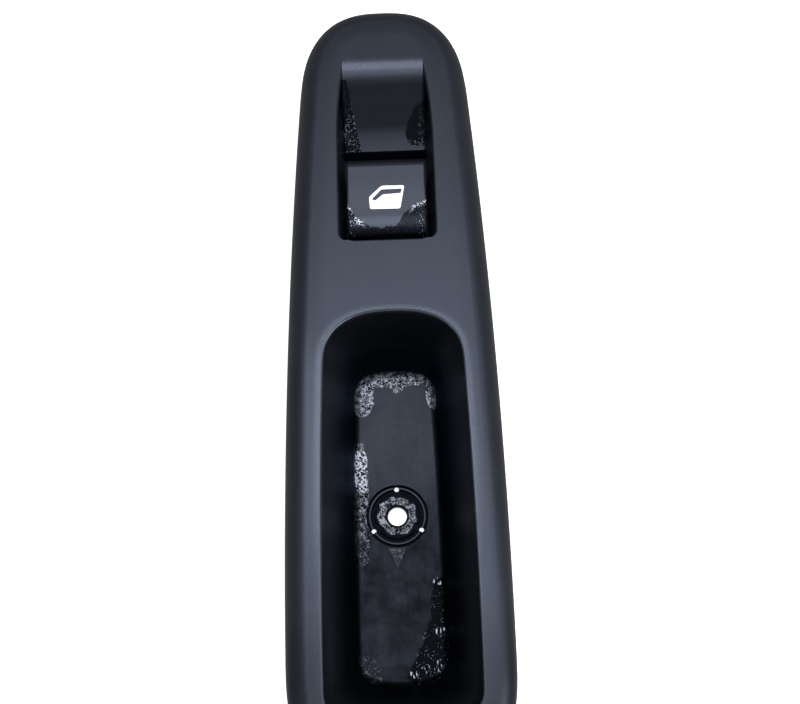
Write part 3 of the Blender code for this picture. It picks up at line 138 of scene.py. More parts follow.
# Under the face
PIVOT_Y = 44.5
BOSS_X = 18.5
BOSS_Y = (35.5, 59.5)
BOSS_RADIUS = 2.9
BOSS_BOTTOM_Z = 24.8
PILOT_RADIUS = 1.4
PILOT_DEPTH = 9.6
FLANGE_BOTTOM_Z = 22.5
TAB_THICK = 1.6
TAB_HALF_WIDTH = 4.0
TAB_BOTTOM_Z = 19.0
TAB_PLACES = ((0.0, 97.55, 0), (0.0, -99.1, 0), (-20.1, 23.9, 1), (20.1, 23.9, 1))
RIB_HALF_THICK = 0.6
RIB_STATIONS = (-78.0, -58.0, -16.0, 2.0)
RIB_DROP = 8.5
LONG_RIB_X = 8.0
LONG_RIB_UNDER_SCOOP = 8.0

# Facets
END_STEPS = 44
SIDE_STEPS = 30
FLANK_STEPS = 20
ARC_STEPS = 10
ROUND_SIDES = 72


# Mesh helpers


def add_object(name, data):
    obj = bpy.data.objects.new(name, data)
    bpy.context.scene.collection.objects.link(obj)
    return obj


def dress(obj, material):
    obj.data.materials.clear()
    obj.data.materials.append(material)
    return obj


def write_metres(shape, mesh):
    """Writes a bmesh in millimetres into a mesh in metres, with its faces pointing out."""
    bmesh.ops.scale(shape, vec=(MM, MM, MM), verts=shape.verts)
    bmesh.ops.recalc_face_normals(shape, faces=shape.faces)
    shape.to_mesh(mesh)
    shape.free()


def from_bmesh(name, shape):
    mesh = bpy.data.meshes.new(name)
    write_metres(shape, mesh)
    return add_object(name, mesh)


def box(name, low, high):
    shape = bmesh.new()
    size = Vector(high) - Vector(low)
    centre = (Vector(high) + Vector(low)) / 2
    place = Matrix.Translation(centre) @ Matrix.Diagonal((*size, 1))
    bmesh.ops.create_cube(shape, size=1, matrix=place)
    return from_bmesh(name, shape)


def cylinder(name, centre, radius, length, sides=ROUND_SIDES):
    shape = bmesh.new()
    bmesh.ops.create_cone(
        shape,
        cap_ends=True,
        segments=sides,
        radius1=radius,
        radius2=radius,
        depth=length,
        matrix=Matrix.Translation(centre),
    )
    return from_bmesh(name, shape)


def loft(name, rings):
    """Skins rings that have the same number of points, and caps both ends."""
    shape = bmesh.new()
    rows = [[shape.verts.new(point) for point in ring] for ring in rings]
    for lower, upper in zip(rows, rows[1:]):
        for i in range(len(lower)):
            j = (i + 1) % len(lower)
            shape.faces.new((lower[i], lower[j], upper[j], upper[i]))
    shape.faces.new(rows[0])
    shape.faces.new(rows[-1])
    return from_bmesh(name, shape)


def prism(name, outline, low, high, axis):
    """A flat outline pushed along X, from (y, z) pairs, or along Y, from (x, z) pairs."""
    place = {"X": lambda a, b, at: (at, a, b), "Y": lambda a, b, at: (a, at, b)}[axis]
    return loft(name, [[place(a, b, at) for a, b in outline] for at in (low, high)])


def lathe(name, profile, centre, sides=ROUND_SIDES):
    """Turns a closed (radius, height) profile round the vertical line through centre."""
    shape = bmesh.new()
    x, y, low = centre
    spokes = []
    for k in range(sides):
        turn = 2 * math.pi * k / sides
        ring = [(x + r * math.cos(turn), y + r * math.sin(turn), low + z) for r, z in profile]
        spokes.append([shape.verts.new(point) for point in ring])
    count = len(profile)
    for k in range(sides):
        near, far = spokes[k], spokes[(k + 1) % sides]
        for i in range(count):
            j = (i + 1) % count
            shape.faces.new((near[i], far[i], far[j], near[j]))
    bmesh.ops.remove_doubles(shape, verts=shape.verts, dist=1e-5)
    return from_bmesh(name, shape)


def combine(target, tools, operation):
    """One exact Boolean with all the tools, made final at once."""
    group = bpy.data.collections.new("tools")
    for tool in tools:
        group.objects.link(tool)
    step = target.modifiers.new("combine", "BOOLEAN")
    step.operation = operation
    step.solver = "EXACT"
    step.operand_type = "COLLECTION"
    step.collection = group
    make_final(target)
    for tool in tools:
        bpy.data.meshes.remove(tool.data)
    bpy.data.collections.remove(group)
    return target


def make_final(obj):
    """Swaps an object's mesh for its evaluated one, and drops its modifiers."""
    graph = bpy.context.evaluated_depsgraph_get()
    mesh = bpy.data.meshes.new_from_object(obj.evaluated_get(graph))
    old = obj.data
    obj.modifiers.clear()
    obj.data = mesh
    bpy.data.meshes.remove(old)
    mesh.name = obj.name
    return obj


def smooth(obj, crease=32.0):
    """Smooth shading that large flat faces rule, with creases above an angle in degrees."""
    obj.data.shade_smooth()
    obj.data.set_sharp_from_angle(angle=math.radians(crease))
    weighted = obj.modifiers.new("weighted", "WEIGHTED_NORMAL")
    weighted.keep_sharp = True
    split = obj.modifiers.new("split", "TRIANGULATE")
    split.min_vertices = 5
    split.keep_custom_normals = True
    return make_final(obj)


def tidy(obj):
    """Merges points closer than a micron, and drops faces without area."""
    shape = bmesh.new()
    shape.from_mesh(obj.data)
    bmesh.ops.remove_doubles(shape, verts=shape.verts, dist=1e-6)
    bmesh.ops.dissolve_degenerate(shape, edges=shape.edges, dist=1e-7)
    shape.to_mesh(obj.data)
    shape.free()
    return obj


def bevel(obj, width, segments=4, angle=55.0):
    rounding = obj.modifiers.new("bevel", "BEVEL")
    rounding.width = width * MM
    rounding.segments = segments
    rounding.limit_method = "ANGLE"
    rounding.angle_limit = math.radians(angle)
    return make_final(obj)


def arc(centre, radius, start, end, steps=ARC_STEPS):
    """Points on an arc, angles in degrees. radius is one number, or one for each axis."""
    rx, ry = radius if isinstance(radius, tuple) else (radius, radius)
    turn = [math.radians(start + (end - start) * k / steps) for k in range(steps + 1)]
    return [(centre[0] + rx * math.cos(a), centre[1] + ry * math.sin(a)) for a in turn]


def quarter_turn(steps, start=0):
    """The angles of a quarter turn in equal steps."""
    return [math.radians(90 * step / steps) for step in range(start, steps + 1)]


# Node helpers


def plug(tree, value, socket):
    """Links a term or a socket, or sets a plain value."""
    if isinstance(value, Term):
        value = value.socket
    if isinstance(value, bpy.types.NodeSocket):
        tree.links.new(value, socket)
    else:
        socket.default_value = value


def add_node(tree, kind, **inputs):
    """A node with its inputs plugged. Underscores stand for blanks in their names."""
    node = tree.nodes.new(kind)
    for key, value in inputs.items():
        plug(tree, value, node.inputs[key.replace("_", " ")])
    return node


def any_of(first, *others):
    """The strongest of some masks."""
    for other in others:
        first = first.either(other)
    return first


class Term:
    """A value in a node tree, so that a shape or a pattern can be written as a formula."""

    def __init__(self, tree, socket):
        self.tree = tree
        self.socket = socket

    def calc(self, operation, *others):
        node = self.tree.nodes.new("ShaderNodeMath")
        node.operation = operation
        for index, value in enumerate((self, *others)):
            plug(self.tree, value, node.inputs[index])
        return Term(self.tree, node.outputs[0])

    def __add__(self, other):
        return self.calc("ADD", other)

    def __sub__(self, other):
        return self.calc("SUBTRACT", other)

    def __mul__(self, other):
        return self.calc("MULTIPLY", other)

    def __truediv__(self, other):
        return self.calc("DIVIDE", other)

    def __pow__(self, other):
        return self.calc("POWER", other)

    def size(self):
        return self.calc("ABSOLUTE")

    def either(self, other):
        return self.calc("MAXIMUM", other)

    def fade(self, low, high, start=0.0, end=1.0):
        """A smooth change from start, where the value is low, to end, where it is high."""
        node = self.tree.nodes.new("ShaderNodeMapRange")
        node.interpolation_type = "SMOOTHSTEP"
        for index, value in enumerate((self, low, high, start, end)):
            plug(self.tree, value, node.inputs[index])
        return Term(self.tree, node.outputs[0])

    def fall(self, low, high):
        """One where the value is low, and smoothly zero where it is high."""
        return self.fade(low, high, 1.0, 0.0)

    def band(self, rise, top, fall, end):
        """One between top and fall, and zero before rise and after end."""
        return self.fade(rise, top) * self.fall(fall, end)

    def flip(self):
        """One minus the value: where a mask isn't, or a share from the other end."""
        return self * -1.0 + 1.0


class Recipe:
    """A Geometry Nodes tree with named sizes in millimetres, made final as one mesh."""

    def __init__(self, name):
        self.name = name
        self.tree = bpy.data.node_groups.new(name, "GeometryNodeTree")
        face = self.tree.interface
        face.new_socket("Geometry", in_out="OUTPUT", socket_type="NodeSocketGeometry")
        self.given = self.tree.nodes.new("NodeGroupInput")
        self.values = {}

    def size(self, name, value):
        """A named input of the tree, as a term."""
        face = self.tree.interface
        socket = face.new_socket(name, in_out="INPUT", socket_type="NodeSocketFloat")
        self.values[socket.identifier] = value
        found = [output for output in self.given.outputs if output.identifier == socket.identifier]
        return Term(self.tree, found[0])

    def node(self, kind, **inputs):
        return add_node(self.tree, kind, **inputs)

    def point(self, x, y, z):
        return self.node("ShaderNodeCombineXYZ", X=x, Y=y, Z=z).outputs[0]

    def placed(self, geometry, x, y, z):
        return self.node("GeometryNodeSetPosition", Geometry=geometry, Position=self.point(x, y, z))

    def sheet(self, columns, rows, shape):
        """A grid whose points go where shape(u, v) says, with its seams and poles merged."""
        grid = self.node(
            "GeometryNodeMeshGrid",
            Size_X=1.0,
            Size_Y=1.0,
            Vertices_X=columns + 1,
            Vertices_Y=rows + 1,
        )
        spot = self.node("GeometryNodeInputPosition").outputs[0]
        split = self.node("ShaderNodeSeparateXYZ", Vector=spot)
        u, v = (Term(self.tree, split.outputs[axis]) + 0.5 for axis in (0, 1))
        moved = self.placed(grid.outputs[0], *shape(u, v)).outputs[0]
        return self.node("GeometryNodeMergeByDistance", Geometry=moved, Distance=1e-3).outputs[0]

    def turned(self, columns, rows, profile):
        """A surface round the Z axis, with a pole at each end. profile(u, v) gives its size."""

        def shape(u, v):
            radius, height = profile(u, v)
            radius = radius * v.calc("GREATER_THAN", 0.001) * v.calc("LESS_THAN", 0.999)
            turn = u * (2 * math.pi)
            return radius * turn.calc("COSINE"), radius * turn.calc("SINE"), height

        return self.sheet(columns, rows, shape)

    def moved(self, geometry, place, turn=0.0):
        rotation = (0.0, 0.0, math.radians(turn))
        node = self.node("GeometryNodeTransform", Geometry=geometry, Translation=place)
        node.inputs["Rotation"].default_value = rotation
        return node.outputs[0]

    def joined(self, *parts):
        node = self.tree.nodes.new("GeometryNodeJoinGeometry")
        for part in parts:
            self.tree.links.new(part, node.inputs[0])
        return node.outputs[0]

    def finish(self, geometry, material, crease=38.0):
        """Ends the tree, and turns its result into a plain object in metres."""
        real = self.node("GeometryNodeRealizeInstances", Geometry=geometry).outputs[0]
        dressed = self.node("GeometryNodeSetMaterial", Geometry=real, Material=material)
        end = self.tree.nodes.new("NodeGroupOutput")
        self.tree.links.new(dressed.outputs[0], end.inputs[0])
        obj = add_object(self.name, bpy.data.meshes.new(self.name))
        step = obj.modifiers.new("recipe", "NODES")
        step.node_group = self.tree
        for key, value in self.values.items():
            step[key] = value
        dress(make_final(obj), material)
        shape = bmesh.new()
        shape.from_mesh(obj.data)
        write_metres(shape, obj.data)
        return smooth(obj, crease)


# Outlines of the panel and the pocket


def oval_half_width(oval, y):
    return oval.half_width - oval.bow * (y - oval.widest_y) ** 2


def oval_end(oval, base, reach, power):
    points = []
    for step in range(END_STEPS + 1):
        angle = math.pi * step / END_STEPS
        y = base + reach * math.sin(angle) ** (2 / power) if 0 < step < END_STEPS else base
        across = math.cos(angle)
        x = math.copysign(abs(across) ** (2 / power), across) * oval_half_width(oval, y)
        points.append(Vector((math.copysign(1, reach) * x, y)))
    return points


def oval_side(oval, start, end, side):
    stations = [start + (end - start) * step / SIDE_STEPS for step in range(1, SIDE_STEPS)]
    return [Vector((side * oval_half_width(oval, y), y)) for y in stations]


def oval_outline(oval, grow=0.0):
    """An oval with bowed sides and blunt round ends, offset outwards by grow."""
    head = oval.head_y - oval.head_round
    tail = oval.tail_y + oval.tail_round
    points = oval_end(oval, head, oval.head_round, oval.head_power)
    points += oval_side(oval, head, tail, -1)
    points += oval_end(oval, tail, -oval.tail_round, oval.tail_power)
    points += oval_side(oval, tail, head, 1)
    count = len(points)
    moved = []
    for i in range(count):
        along = (points[(i + 1) % count] - points[i - 1]).normalized()
        moved.append(points[i] + Vector((along.y, -along.x)) * grow)
    return moved


def oval_reach(oval, x, end):
    """How far along Y an oval reaches at one x. End 1 is the head, and -1 the tail."""
    if end > 0:
        tip, reach, power = oval.head_y, oval.head_round, oval.head_power
    else:
        tip, reach, power = oval.tail_y, oval.tail_round, oval.tail_power
    across = x / oval_half_width(oval, tip)
    return tip - end * reach * (1 - (1 - across**power) ** (1 / power))


def at_height(outline, z):
    return [(x, y, z) for x, y in outline]


# Panel


def panel_skin(inset_wall, steps):
    """(inset, height) pairs from the skirt's edge to the crowned face, moved inwards by a wall."""
    flank_height = SKIRT_DEPTH - SKIRT_LAND
    pairs = [(0.0, -SKIRT_DEPTH)]
    for angle in quarter_turn(steps):
        inset = SKIRT_DRAFT + (FLANK_WIDTH - SKIRT_DRAFT) * (1 - math.cos(angle))
        pairs.append((inset, -flank_height + (flank_height - CROWN) * math.sin(angle)))
    for k in range(1, CROWN_STEPS + 1):
        share = k / CROWN_STEPS
        pairs.append((FLANK_WIDTH + CROWN_WIDTH * share, -CROWN * (1 - share) ** 2))
    return [(inset + inset_wall, FACE_Z + z - inset_wall) for inset, z in pairs]


def panel_shell():
    skins = {
        "panel": panel_skin(0.0, FLANK_STEPS),
        "cavity": [(WALL, FACE_Z - 2 * SKIRT_DEPTH)] + panel_skin(WALL, 8),
    }
    shell, cavity = (
        loft(name, [at_height(oval_outline(PANEL_OVAL, -inset), z) for inset, z in skin])
        for name, skin in skins.items()
    )
    return combine(shell, [cavity], "DIFFERENCE")


def pocket_outline(depth, grow=0.0):
    """The pocket's outline at a depth below the face: a blend from the rim to the floor."""
    share = depth / POCKET_DEPTH
    centre = Vector((POCKET_X, 0.0))
    rim = oval_outline(RIM_OVAL, grow)
    floor = oval_outline(FLOOR_OVAL, grow)
    return [centre + a.lerp(b, share) for a, b in zip(rim, floor)]


def pocket_space():
    rings = []
    for step in range(ARC_STEPS):
        angle = math.radians(POCKET_FILLET_SWEEP * step / (ARC_STEPS - 1))
        depth = POCKET_DEPTH - POCKET_FILLET * (1 - math.cos(angle))
        rings.append((depth, -POCKET_FILLET * (1 - math.sin(angle))))
    for step in range(1, 4):
        share = step / 4
        rings.append((rings[ARC_STEPS - 1][0] * (1 - share) + POCKET_LIP * share, 0.0))
    for step in range(ARC_STEPS):
        angle = LIP_TURN * step / (ARC_STEPS - 1)
        rings.append((POCKET_LIP * (1 - math.sin(angle)), POCKET_LIP * (1 - math.cos(angle))))
    depth, grow = rings[-1]
    above = POCKET_LIP + depth
    rings.append((depth - above, grow + above * math.tan(LIP_TURN) / 2))
    return loft(
        "pocket_space",
        [at_height(pocket_outline(max(d, 0.0), g), FACE_Z - d) for d, g in rings],
    )


def pocket_tub():
    levels = (TUB_TOP_DEPTH, POCKET_DEPTH - TUB_FILLET + FLOOR_THICKNESS)
    rings = [at_height(pocket_outline(min(d, POCKET_DEPTH), WALL), FACE_Z - d) for d in levels]
    for angle in quarter_turn(ARC_STEPS, 1):
        z = TUB_FILLET * (1 - math.sin(angle))
        inset = TUB_FILLET * (1 - math.cos(angle))
        rings.append(at_height(pocket_outline(POCKET_DEPTH, WALL - inset), z))
    return loft("pocket_tub", rings)


def seat_tools():
    """What is cut for the screw seat: grooves round a snap ring, the pad, its hole and its lugs."""
    low = FLOOR_THICKNESS - SEAT_GROOVE_DEPTH
    centre = (0, SEAT_Y, low)
    top = SEAT_GROOVE_DEPTH + 2
    pad = SEAT_GROOVE_DEPTH - SEAT_PAD_DROP

    def mouth(radius, side):
        """A wall's soft upper corner, leaning to one side, and what is cut above it."""
        edge = radius + side * SEAT_CORNER
        corner = (radius, SEAT_GROOVE_DEPTH - SEAT_CORNER)
        return [corner, (edge, SEAT_GROOVE_DEPTH + SEAT_CORNER / 4), (edge, top)]

    groove = [(SEAT_RING_OUTER, 0.0), (SEAT_RADIUS, 0.0), *mouth(SEAT_RADIUS, 1)]
    groove += reversed(mouth(SEAT_RING_OUTER, -1))
    inner = [
        (0.0, top),
        (0.0, pad),
        (SEAT_PAD_RADIUS - SEAT_CORNER, pad),
        (SEAT_PAD_RADIUS, pad - SEAT_CORNER),
        (SEAT_PAD_RADIUS, 0.0),
        (SEAT_RING_INNER, 0.0),
        *mouth(SEAT_RING_INNER, 1),
    ]
    tools = [
        lathe("seat_groove", groove, centre),
        lathe("seat_pad", inner, centre),
        cylinder("screw_hole", (0, SEAT_Y, 0), SCREW_HOLE_RADIUS, 4 * FLOOR_THICKNESS),
    ]
    ring = (SEAT_RING_INNER + SEAT_RING_OUTER) / 2
    for index in range(3):
        turn = math.radians(90 + 120 * index)
        x, y = math.cos(turn), math.sin(turn)
        middle = low - 0.2 + LUG_NOTCH_LENGTH / 2
        notch = (SEAT_PAD_RADIUS * x, SEAT_Y + SEAT_PAD_RADIUS * y, middle)
        window = (ring * x, SEAT_Y + ring * y, 0)
        tools.append(cylinder(f"lug_notch_{index}", notch, LUG_RADIUS, LUG_NOTCH_LENGTH, sides=32))
        tools.append(
            cylinder(f"lug_window_{index}", window, LUG_WINDOW / 2, 4 * FLOOR_THICKNESS, sides=24)
        )
    return tools


def scoop_drop(y):
    """How far the scoop's floor lies below the face: a rounded edge, then a levelling hollow."""
    run = SCOOP_FRONT_Y - y
    soft = run**2 / (2 * SCOOP_EDGE) if run < SCOOP_EDGE else run - SCOOP_EDGE / 2
    share = soft / (SCOOP_FRONT_Y - SCOOP_REAR_Y - SCOOP_EDGE / 2)
    return WELL_DEPTH * (1 - (1 - min(share, 1.0)) ** SCOOP_POWER)


def lip_flare(z, lip):
    """How far the well's wall leans out at one height, where a rounded lip meets the face."""
    foot = FACE_Z - lip * math.sin(LIP_TURN)
    share = min(max((z - foot) / lip, 0.0), math.sin(LIP_TURN))
    return lip * (1 - math.sqrt(1 - share**2)) + max(z - FACE_Z, 0.0) * math.tan(LIP_TURN)


def both_sides(side, y):
    """A section at one y, from its right side's (x, z) pairs and their mirror image."""
    return [(-x, y, z) for x, z in reversed(side)] + [(x, y, z) for x, z in side]


def well_section(y, floor, fillet, lip):
    """The well's section at one y: filleted floor, drafted wall, rounded lip, above the face."""
    base = max(floor, WELL_FLOOR_Z)
    corner_y = WELL_REAR_Y + WELL_CORNER

    def half(z):
        lean = lip_flare(z, lip)
        width = WELL_HALF_WIDTH + WELL_DRAFT * max(min(z, FACE_Z) - base, 0.0) + lean
        back = corner_y - y
        if back <= 0:
            return width
        turn = WELL_CORNER + lean
        return width - turn + math.sqrt(max(turn**2 - back**2, 0.0))

    start = floor + fillet
    foot = FACE_Z - lip * math.sin(LIP_TURN)
    bend = min(max(start, WELL_FLOOR_Z), foot)
    levels = [bend + (foot - bend) * share for share in (0.02, 0.5)]
    levels += [foot + (FACE_Z - foot) * math.sin(angle) for angle in quarter_turn(LIP_STEPS)]
    levels.append(FACE_Z + ABOVE_FACE)
    side = [(half(start) - fillet + a, start + b) for a, b in arc((0, 0), fillet, 270, 360, 5)]
    for k, level in enumerate(levels):
        level = max(level, start + 0.0005 * (k + 1))
        side.append((half(level), level))
    return both_sides(side, y)


def well_space():
    """The scoop and the rocker's aperture as one space, lofted from head to tail."""
    reach = SCOOP_FRONT_Y - SCOOP_REAR_Y
    deep = WELL_FLOOR_Z - 4 * WELL_WALL
    sections = [well_section(SCOOP_FRONT_Y + 1.6, FACE_Z + 0.1, 0.02, 0.05)]
    steps = 30
    for step in range(1, steps + 1):
        share = (step / steps) ** 1.5
        y = SCOOP_FRONT_Y - reach * share
        drop = scoop_drop(y)
        fillet = max(min(SCOOP_FILLET, drop * 0.45), 0.004)
        lip = min(WELL_LIP, max(drop * 0.4, 0.01))
        sections.append(well_section(y, FACE_Z - drop, fillet, lip))
    corner = [WELL_REAR_Y + WELL_CORNER * (1 - math.sin(a)) for a in quarter_turn(ARC_STEPS)]
    for y in (SCOOP_REAR_Y - 0.05, *corner):
        sections.append(well_section(y, deep, 0.4, WELL_LIP))
    foot = FACE_Z - WELL_LIP * math.sin(LIP_TURN)
    turns = [LIP_TURN * step / LIP_STEPS for step in range(1, LIP_STEPS + 1)]
    levels = [foot + WELL_LIP * math.sin(angle) for angle in turns]
    for level in (*levels, FACE_Z + ABOVE_FACE):
        y = WELL_REAR_Y - lip_flare(level, WELL_LIP)
        sections.append(well_section(y, level - 0.02, 0.004, WELL_LIP))
    return loft("well_space", sections)


def well_walls():
    """Walls under the face round the scoop and the aperture."""
    under_face = FACE_Z - 1.0
    sections = []
    stations = [SCOOP_FRONT_Y - (SCOOP_FRONT_Y - SCOOP_REAR_Y) * k / 16 for k in range(17)]
    rows = [(SCOOP_FRONT_Y + WELL_WALL, 0.8)] + [(y, max(scoop_drop(y), 0.8)) for y in stations]
    rows.append((WELL_REAR_Y - WELL_WALL, WELL_DEPTH))
    for y, drop in rows:
        floor = FACE_Z - drop - WELL_WALL
        base = max(floor, WELL_FLOOR_Z)
        fillet = min(SCOOP_FILLET + WELL_WALL / 2, (under_face - floor) / 2)
        side = []
        for level in (floor + fillet, (floor + fillet + under_face) / 2, under_face):
            lean = WELL_DRAFT * max(level - base, 0.0)
            side.append((WELL_HALF_WIDTH + WELL_WALL + lean, level))
        low = side[0]
        side = arc((low[0] - fillet, low[1]), fillet, 270, 359, 5) + side
        sections.append(both_sides(side, y))
    return loft("well_walls", sections)


def rib_outline(edge, out, wall_low, wall_top):
    """A rib's section from an inner wall to the skirt's edge. Out is the sign of that way."""
    low = FACE_Z - RIB_DROP
    skin = panel_skin(WALL / 2, 6)[:-CROWN_STEPS]
    skin = [(edge - out * inset, z) for inset, z in skin if z > low]
    skin = [(across, z) for across, z in skin if out * (across - wall_top) > 0]
    return [(wall_low, low), (skin[0][0], low), *skin, (wall_top, FACE_Z - WALL / 2)]


def ribs():
    """Ribs under the face, across the panel and along it."""
    low = FACE_Z - RIB_DROP
    top = FACE_Z - WALL / 2
    side_draft = POCKET_SIDE_DRAFT * RIB_DROP / POCKET_DEPTH
    end_draft = POCKET_END_DRAFT * RIB_DROP / POCKET_DEPTH
    boss_wall = BOSS_X + (BOSS_RADIUS + PILOT_RADIUS) / 2
    walls = {y: (boss_wall, boss_wall) for y in BOSS_Y}
    for y in RIB_STATIONS:
        wall = oval_half_width(RIM_OVAL, y) + WALL / 2
        walls[y] = (wall - side_draft, wall)
    made = []
    for y, wall in walls.items():
        outline = rib_outline(oval_half_width(PANEL_OVAL, y), 1, *wall)
        for side in (-1, 1):
            section = [(side * x, z) for x, z in outline]
            made.append(prism("rib", section, y - RIB_HALF_THICK, y + RIB_HALF_THICK, "Y"))
    scoop = SCOOP_FRONT_Y - LONG_RIB_UNDER_SCOOP
    well = WELL_REAR_Y - WELL_WALL / 2
    front = oval_reach(RIM_OVAL, LONG_RIB_X, 1) + WALL / 2
    back = oval_reach(RIM_OVAL, LONG_RIB_X, -1) - WALL / 2
    sections = (
        rib_outline(oval_reach(PANEL_OVAL, LONG_RIB_X, 1), 1, scoop, scoop),
        [(front - end_draft, low), (well, low), (well, top), (front, top)],
        rib_outline(oval_reach(PANEL_OVAL, LONG_RIB_X, -1), -1, back + end_draft, back),
    )
    for section in sections:
        for x in (-LONG_RIB_X, LONG_RIB_X):
            made.append(prism("rib", section, x - RIB_HALF_THICK, x + RIB_HALF_THICK, "X"))
    return made


def light_shield():
    """A thin wall under the scoop's rear edge, set in a little from the well's walls."""
    half = WELL_HALF_WIDTH + WELL_WALL - 0.05
    low = (-half, SCOOP_REAR_Y - 0.02, SHIELD_BOTTOM_Z)
    return box("light_shield", low, (half, SCOOP_REAR_Y + WELL_WALL - 0.1, WELL_FLOOR_Z - 0.5))


def make_panel():
    """The moulded panel with all that is under it, as one closed skin."""
    panel = panel_shell()
    added = [pocket_tub(), well_walls(), *ribs(), light_shield()]
    removed = [pocket_space(), well_space(), *seat_tools()]
    top = FACE_Z - WALL / 2
    for x in (-BOSS_X, BOSS_X):
        for y in BOSS_Y:
            middle = (top + BOSS_BOTTOM_Z) / 2
            added.append(cylinder("boss", (x, y, middle), BOSS_RADIUS, top - BOSS_BOTTOM_Z, 48))
            middle = FLANGE_BOTTOM_Z + PILOT_DEPTH / 2
            removed.append(cylinder("pilot", (x, y, middle), PILOT_RADIUS, PILOT_DEPTH, 32))
    for x, y, quarter in TAB_PLACES:
        half = (TAB_THICK / 2, TAB_HALF_WIDTH) if quarter else (TAB_HALF_WIDTH, TAB_THICK / 2)
        low = (x - half[0], y - half[1], TAB_BOTTOM_Z)
        added.append(box("tab", low, (x + half[0], y + half[1], top)))
    combine(panel, added, "UNION")
    for tool in removed:
        combine(panel, [tool], "DIFFERENCE")
    return smooth(tidy(panel), 34.0)


# Rocker key


def key_height(y):
    """The height of the key's dished face at one y."""
    start = ROCKER_FRONT_Y - ROCKER_LIP_RADIUS
    end = ROCKER_FRONT_Y - ROCKER_LENGTH + ROCKER_ROLL_LENGTH
    share = (start - y) / (start - end)
    dish = ROCKER_SAG * math.sin(math.pi * share)
    return FACE_Z + ROCKER_LIP_RISE * (1 - share) - dish


def key_profile():
    """Side view of the key: front wall, lip, shallow dish, rolled rear and rear wall."""
    rear = ROCKER_FRONT_Y - ROCKER_LENGTH
    bottom = FACE_Z - ROCKER_SKIRT
    lip = ROCKER_LIP_RADIUS
    start = ROCKER_FRONT_Y - lip
    end = rear + ROCKER_ROLL_LENGTH
    steps = 28
    points = [(ROCKER_FRONT_Y, bottom)]
    points += arc((start, FACE_Z + ROCKER_LIP_RISE - lip), lip, 0, 90, 14)
    for step in range(1, steps + 1):
        y = start + (end - start) * step / steps
        points.append((y, key_height(y)))
    roll = (end, FACE_Z - ROCKER_ROLL_DROP)
    points += arc(roll, (ROCKER_ROLL_LENGTH, ROCKER_ROLL_DROP), 90, 180, 18)[1:]
    points.append((rear, bottom))
    return points


def make_key():
    key = prism("window_key", key_profile(), -ROCKER_HALF_WIDTH, ROCKER_HALF_WIDTH, "X")
    bevel(key, KEY_EDGE, 5, 60.0)
    front = ROCKER_FRONT_Y - ROCKER_WALL
    rear = ROCKER_FRONT_Y - ROCKER_LENGTH + ROCKER_WALL
    inner = ROCKER_HALF_WIDTH - ROCKER_WALL
    hollow = [
        (front, FACE_Z - ROCKER_SKIRT - 1),
        (front, CAP_UNDERSIDE_Z - 0.8),
        (front - 0.8, CAP_UNDERSIDE_Z),
        (rear + ROCKER_ROLL_LENGTH / 2, CAP_UNDERSIDE_Z),
        (rear, CAP_UNDERSIDE_Z - ROCKER_ROLL_DROP / 2),
        (rear, FACE_Z - ROCKER_SKIRT - 1),
    ]
    combine(key, [prism("key_room", hollow, -inner, inner, "X")], "DIFFERENCE")
    return smooth(key, 30.0)


def rounded(points, radius, steps=4):
    """A polygon with each corner rounded by a short curve."""
    found = []
    count = len(points)
    for i in range(count):
        before, here, after = (Vector(points[(i + k) % count]) for k in (-1, 0, 1))
        start = here + (before - here).normalized() * radius
        end = here + (after - here).normalized() * radius
        for k in range(steps + 1):
            t = k / steps
            found.append((1 - t) ** 2 * start + 2 * t * (1 - t) * here + t**2 * end)
    return found


SYMBOL_RISE = 0.012
SYMBOL_DEPTH = 0.05
SYMBOL_BANDS = 14
SYMBOL_FRAME = ((-4.75, 45.8), (-1.3, 48.9), (4.95, 48.85), (3.65, 42.1), (-4.55, 42.2))
SYMBOL_GLASS = (
    (-4.05, 45.1),
    (-1.35, 47.85),
    (4.25, 47.95),
    (3.95, 46.65),
    (-1.0, 46.35),
    (-3.15, 44.6),
)


def make_symbol():
    """The printed window symbol: a frame, an open pane and a solid door below it."""
    shape = bmesh.new()
    edges = []
    for outline, radius in ((SYMBOL_FRAME, 0.55), (SYMBOL_GLASS, 0.35)):
        loop = [shape.verts.new((*point, 0.0)) for point in rounded(outline, radius)]
        edges += [shape.edges.new((loop[i - 1], loop[i])) for i in range(len(loop))]
    bmesh.ops.triangle_fill(shape, use_beauty=True, edges=edges)
    low = min(y for _, y in SYMBOL_FRAME)
    high = max(y for _, y in SYMBOL_FRAME)
    for step in range(1, SYMBOL_BANDS):
        y = low + (high - low) * step / SYMBOL_BANDS
        geometry = [*shape.verts, *shape.edges, *shape.faces]
        bmesh.ops.bisect_plane(shape, geom=geometry, plane_co=(0, y, 0), plane_no=(0, 1, 0))
    for vert in shape.verts:
        vert.co.z = key_height(vert.co.y) + SYMBOL_RISE
    grown = bmesh.ops.extrude_face_region(shape, geom=list(shape.faces))
    under = [v for v in grown["geom"] if isinstance(v, bmesh.types.BMVert)]
    bmesh.ops.translate(shape, vec=(0, 0, -SYMBOL_DEPTH), verts=under)
    return smooth(from_bmesh("window_symbol", shape))


# Module and clips

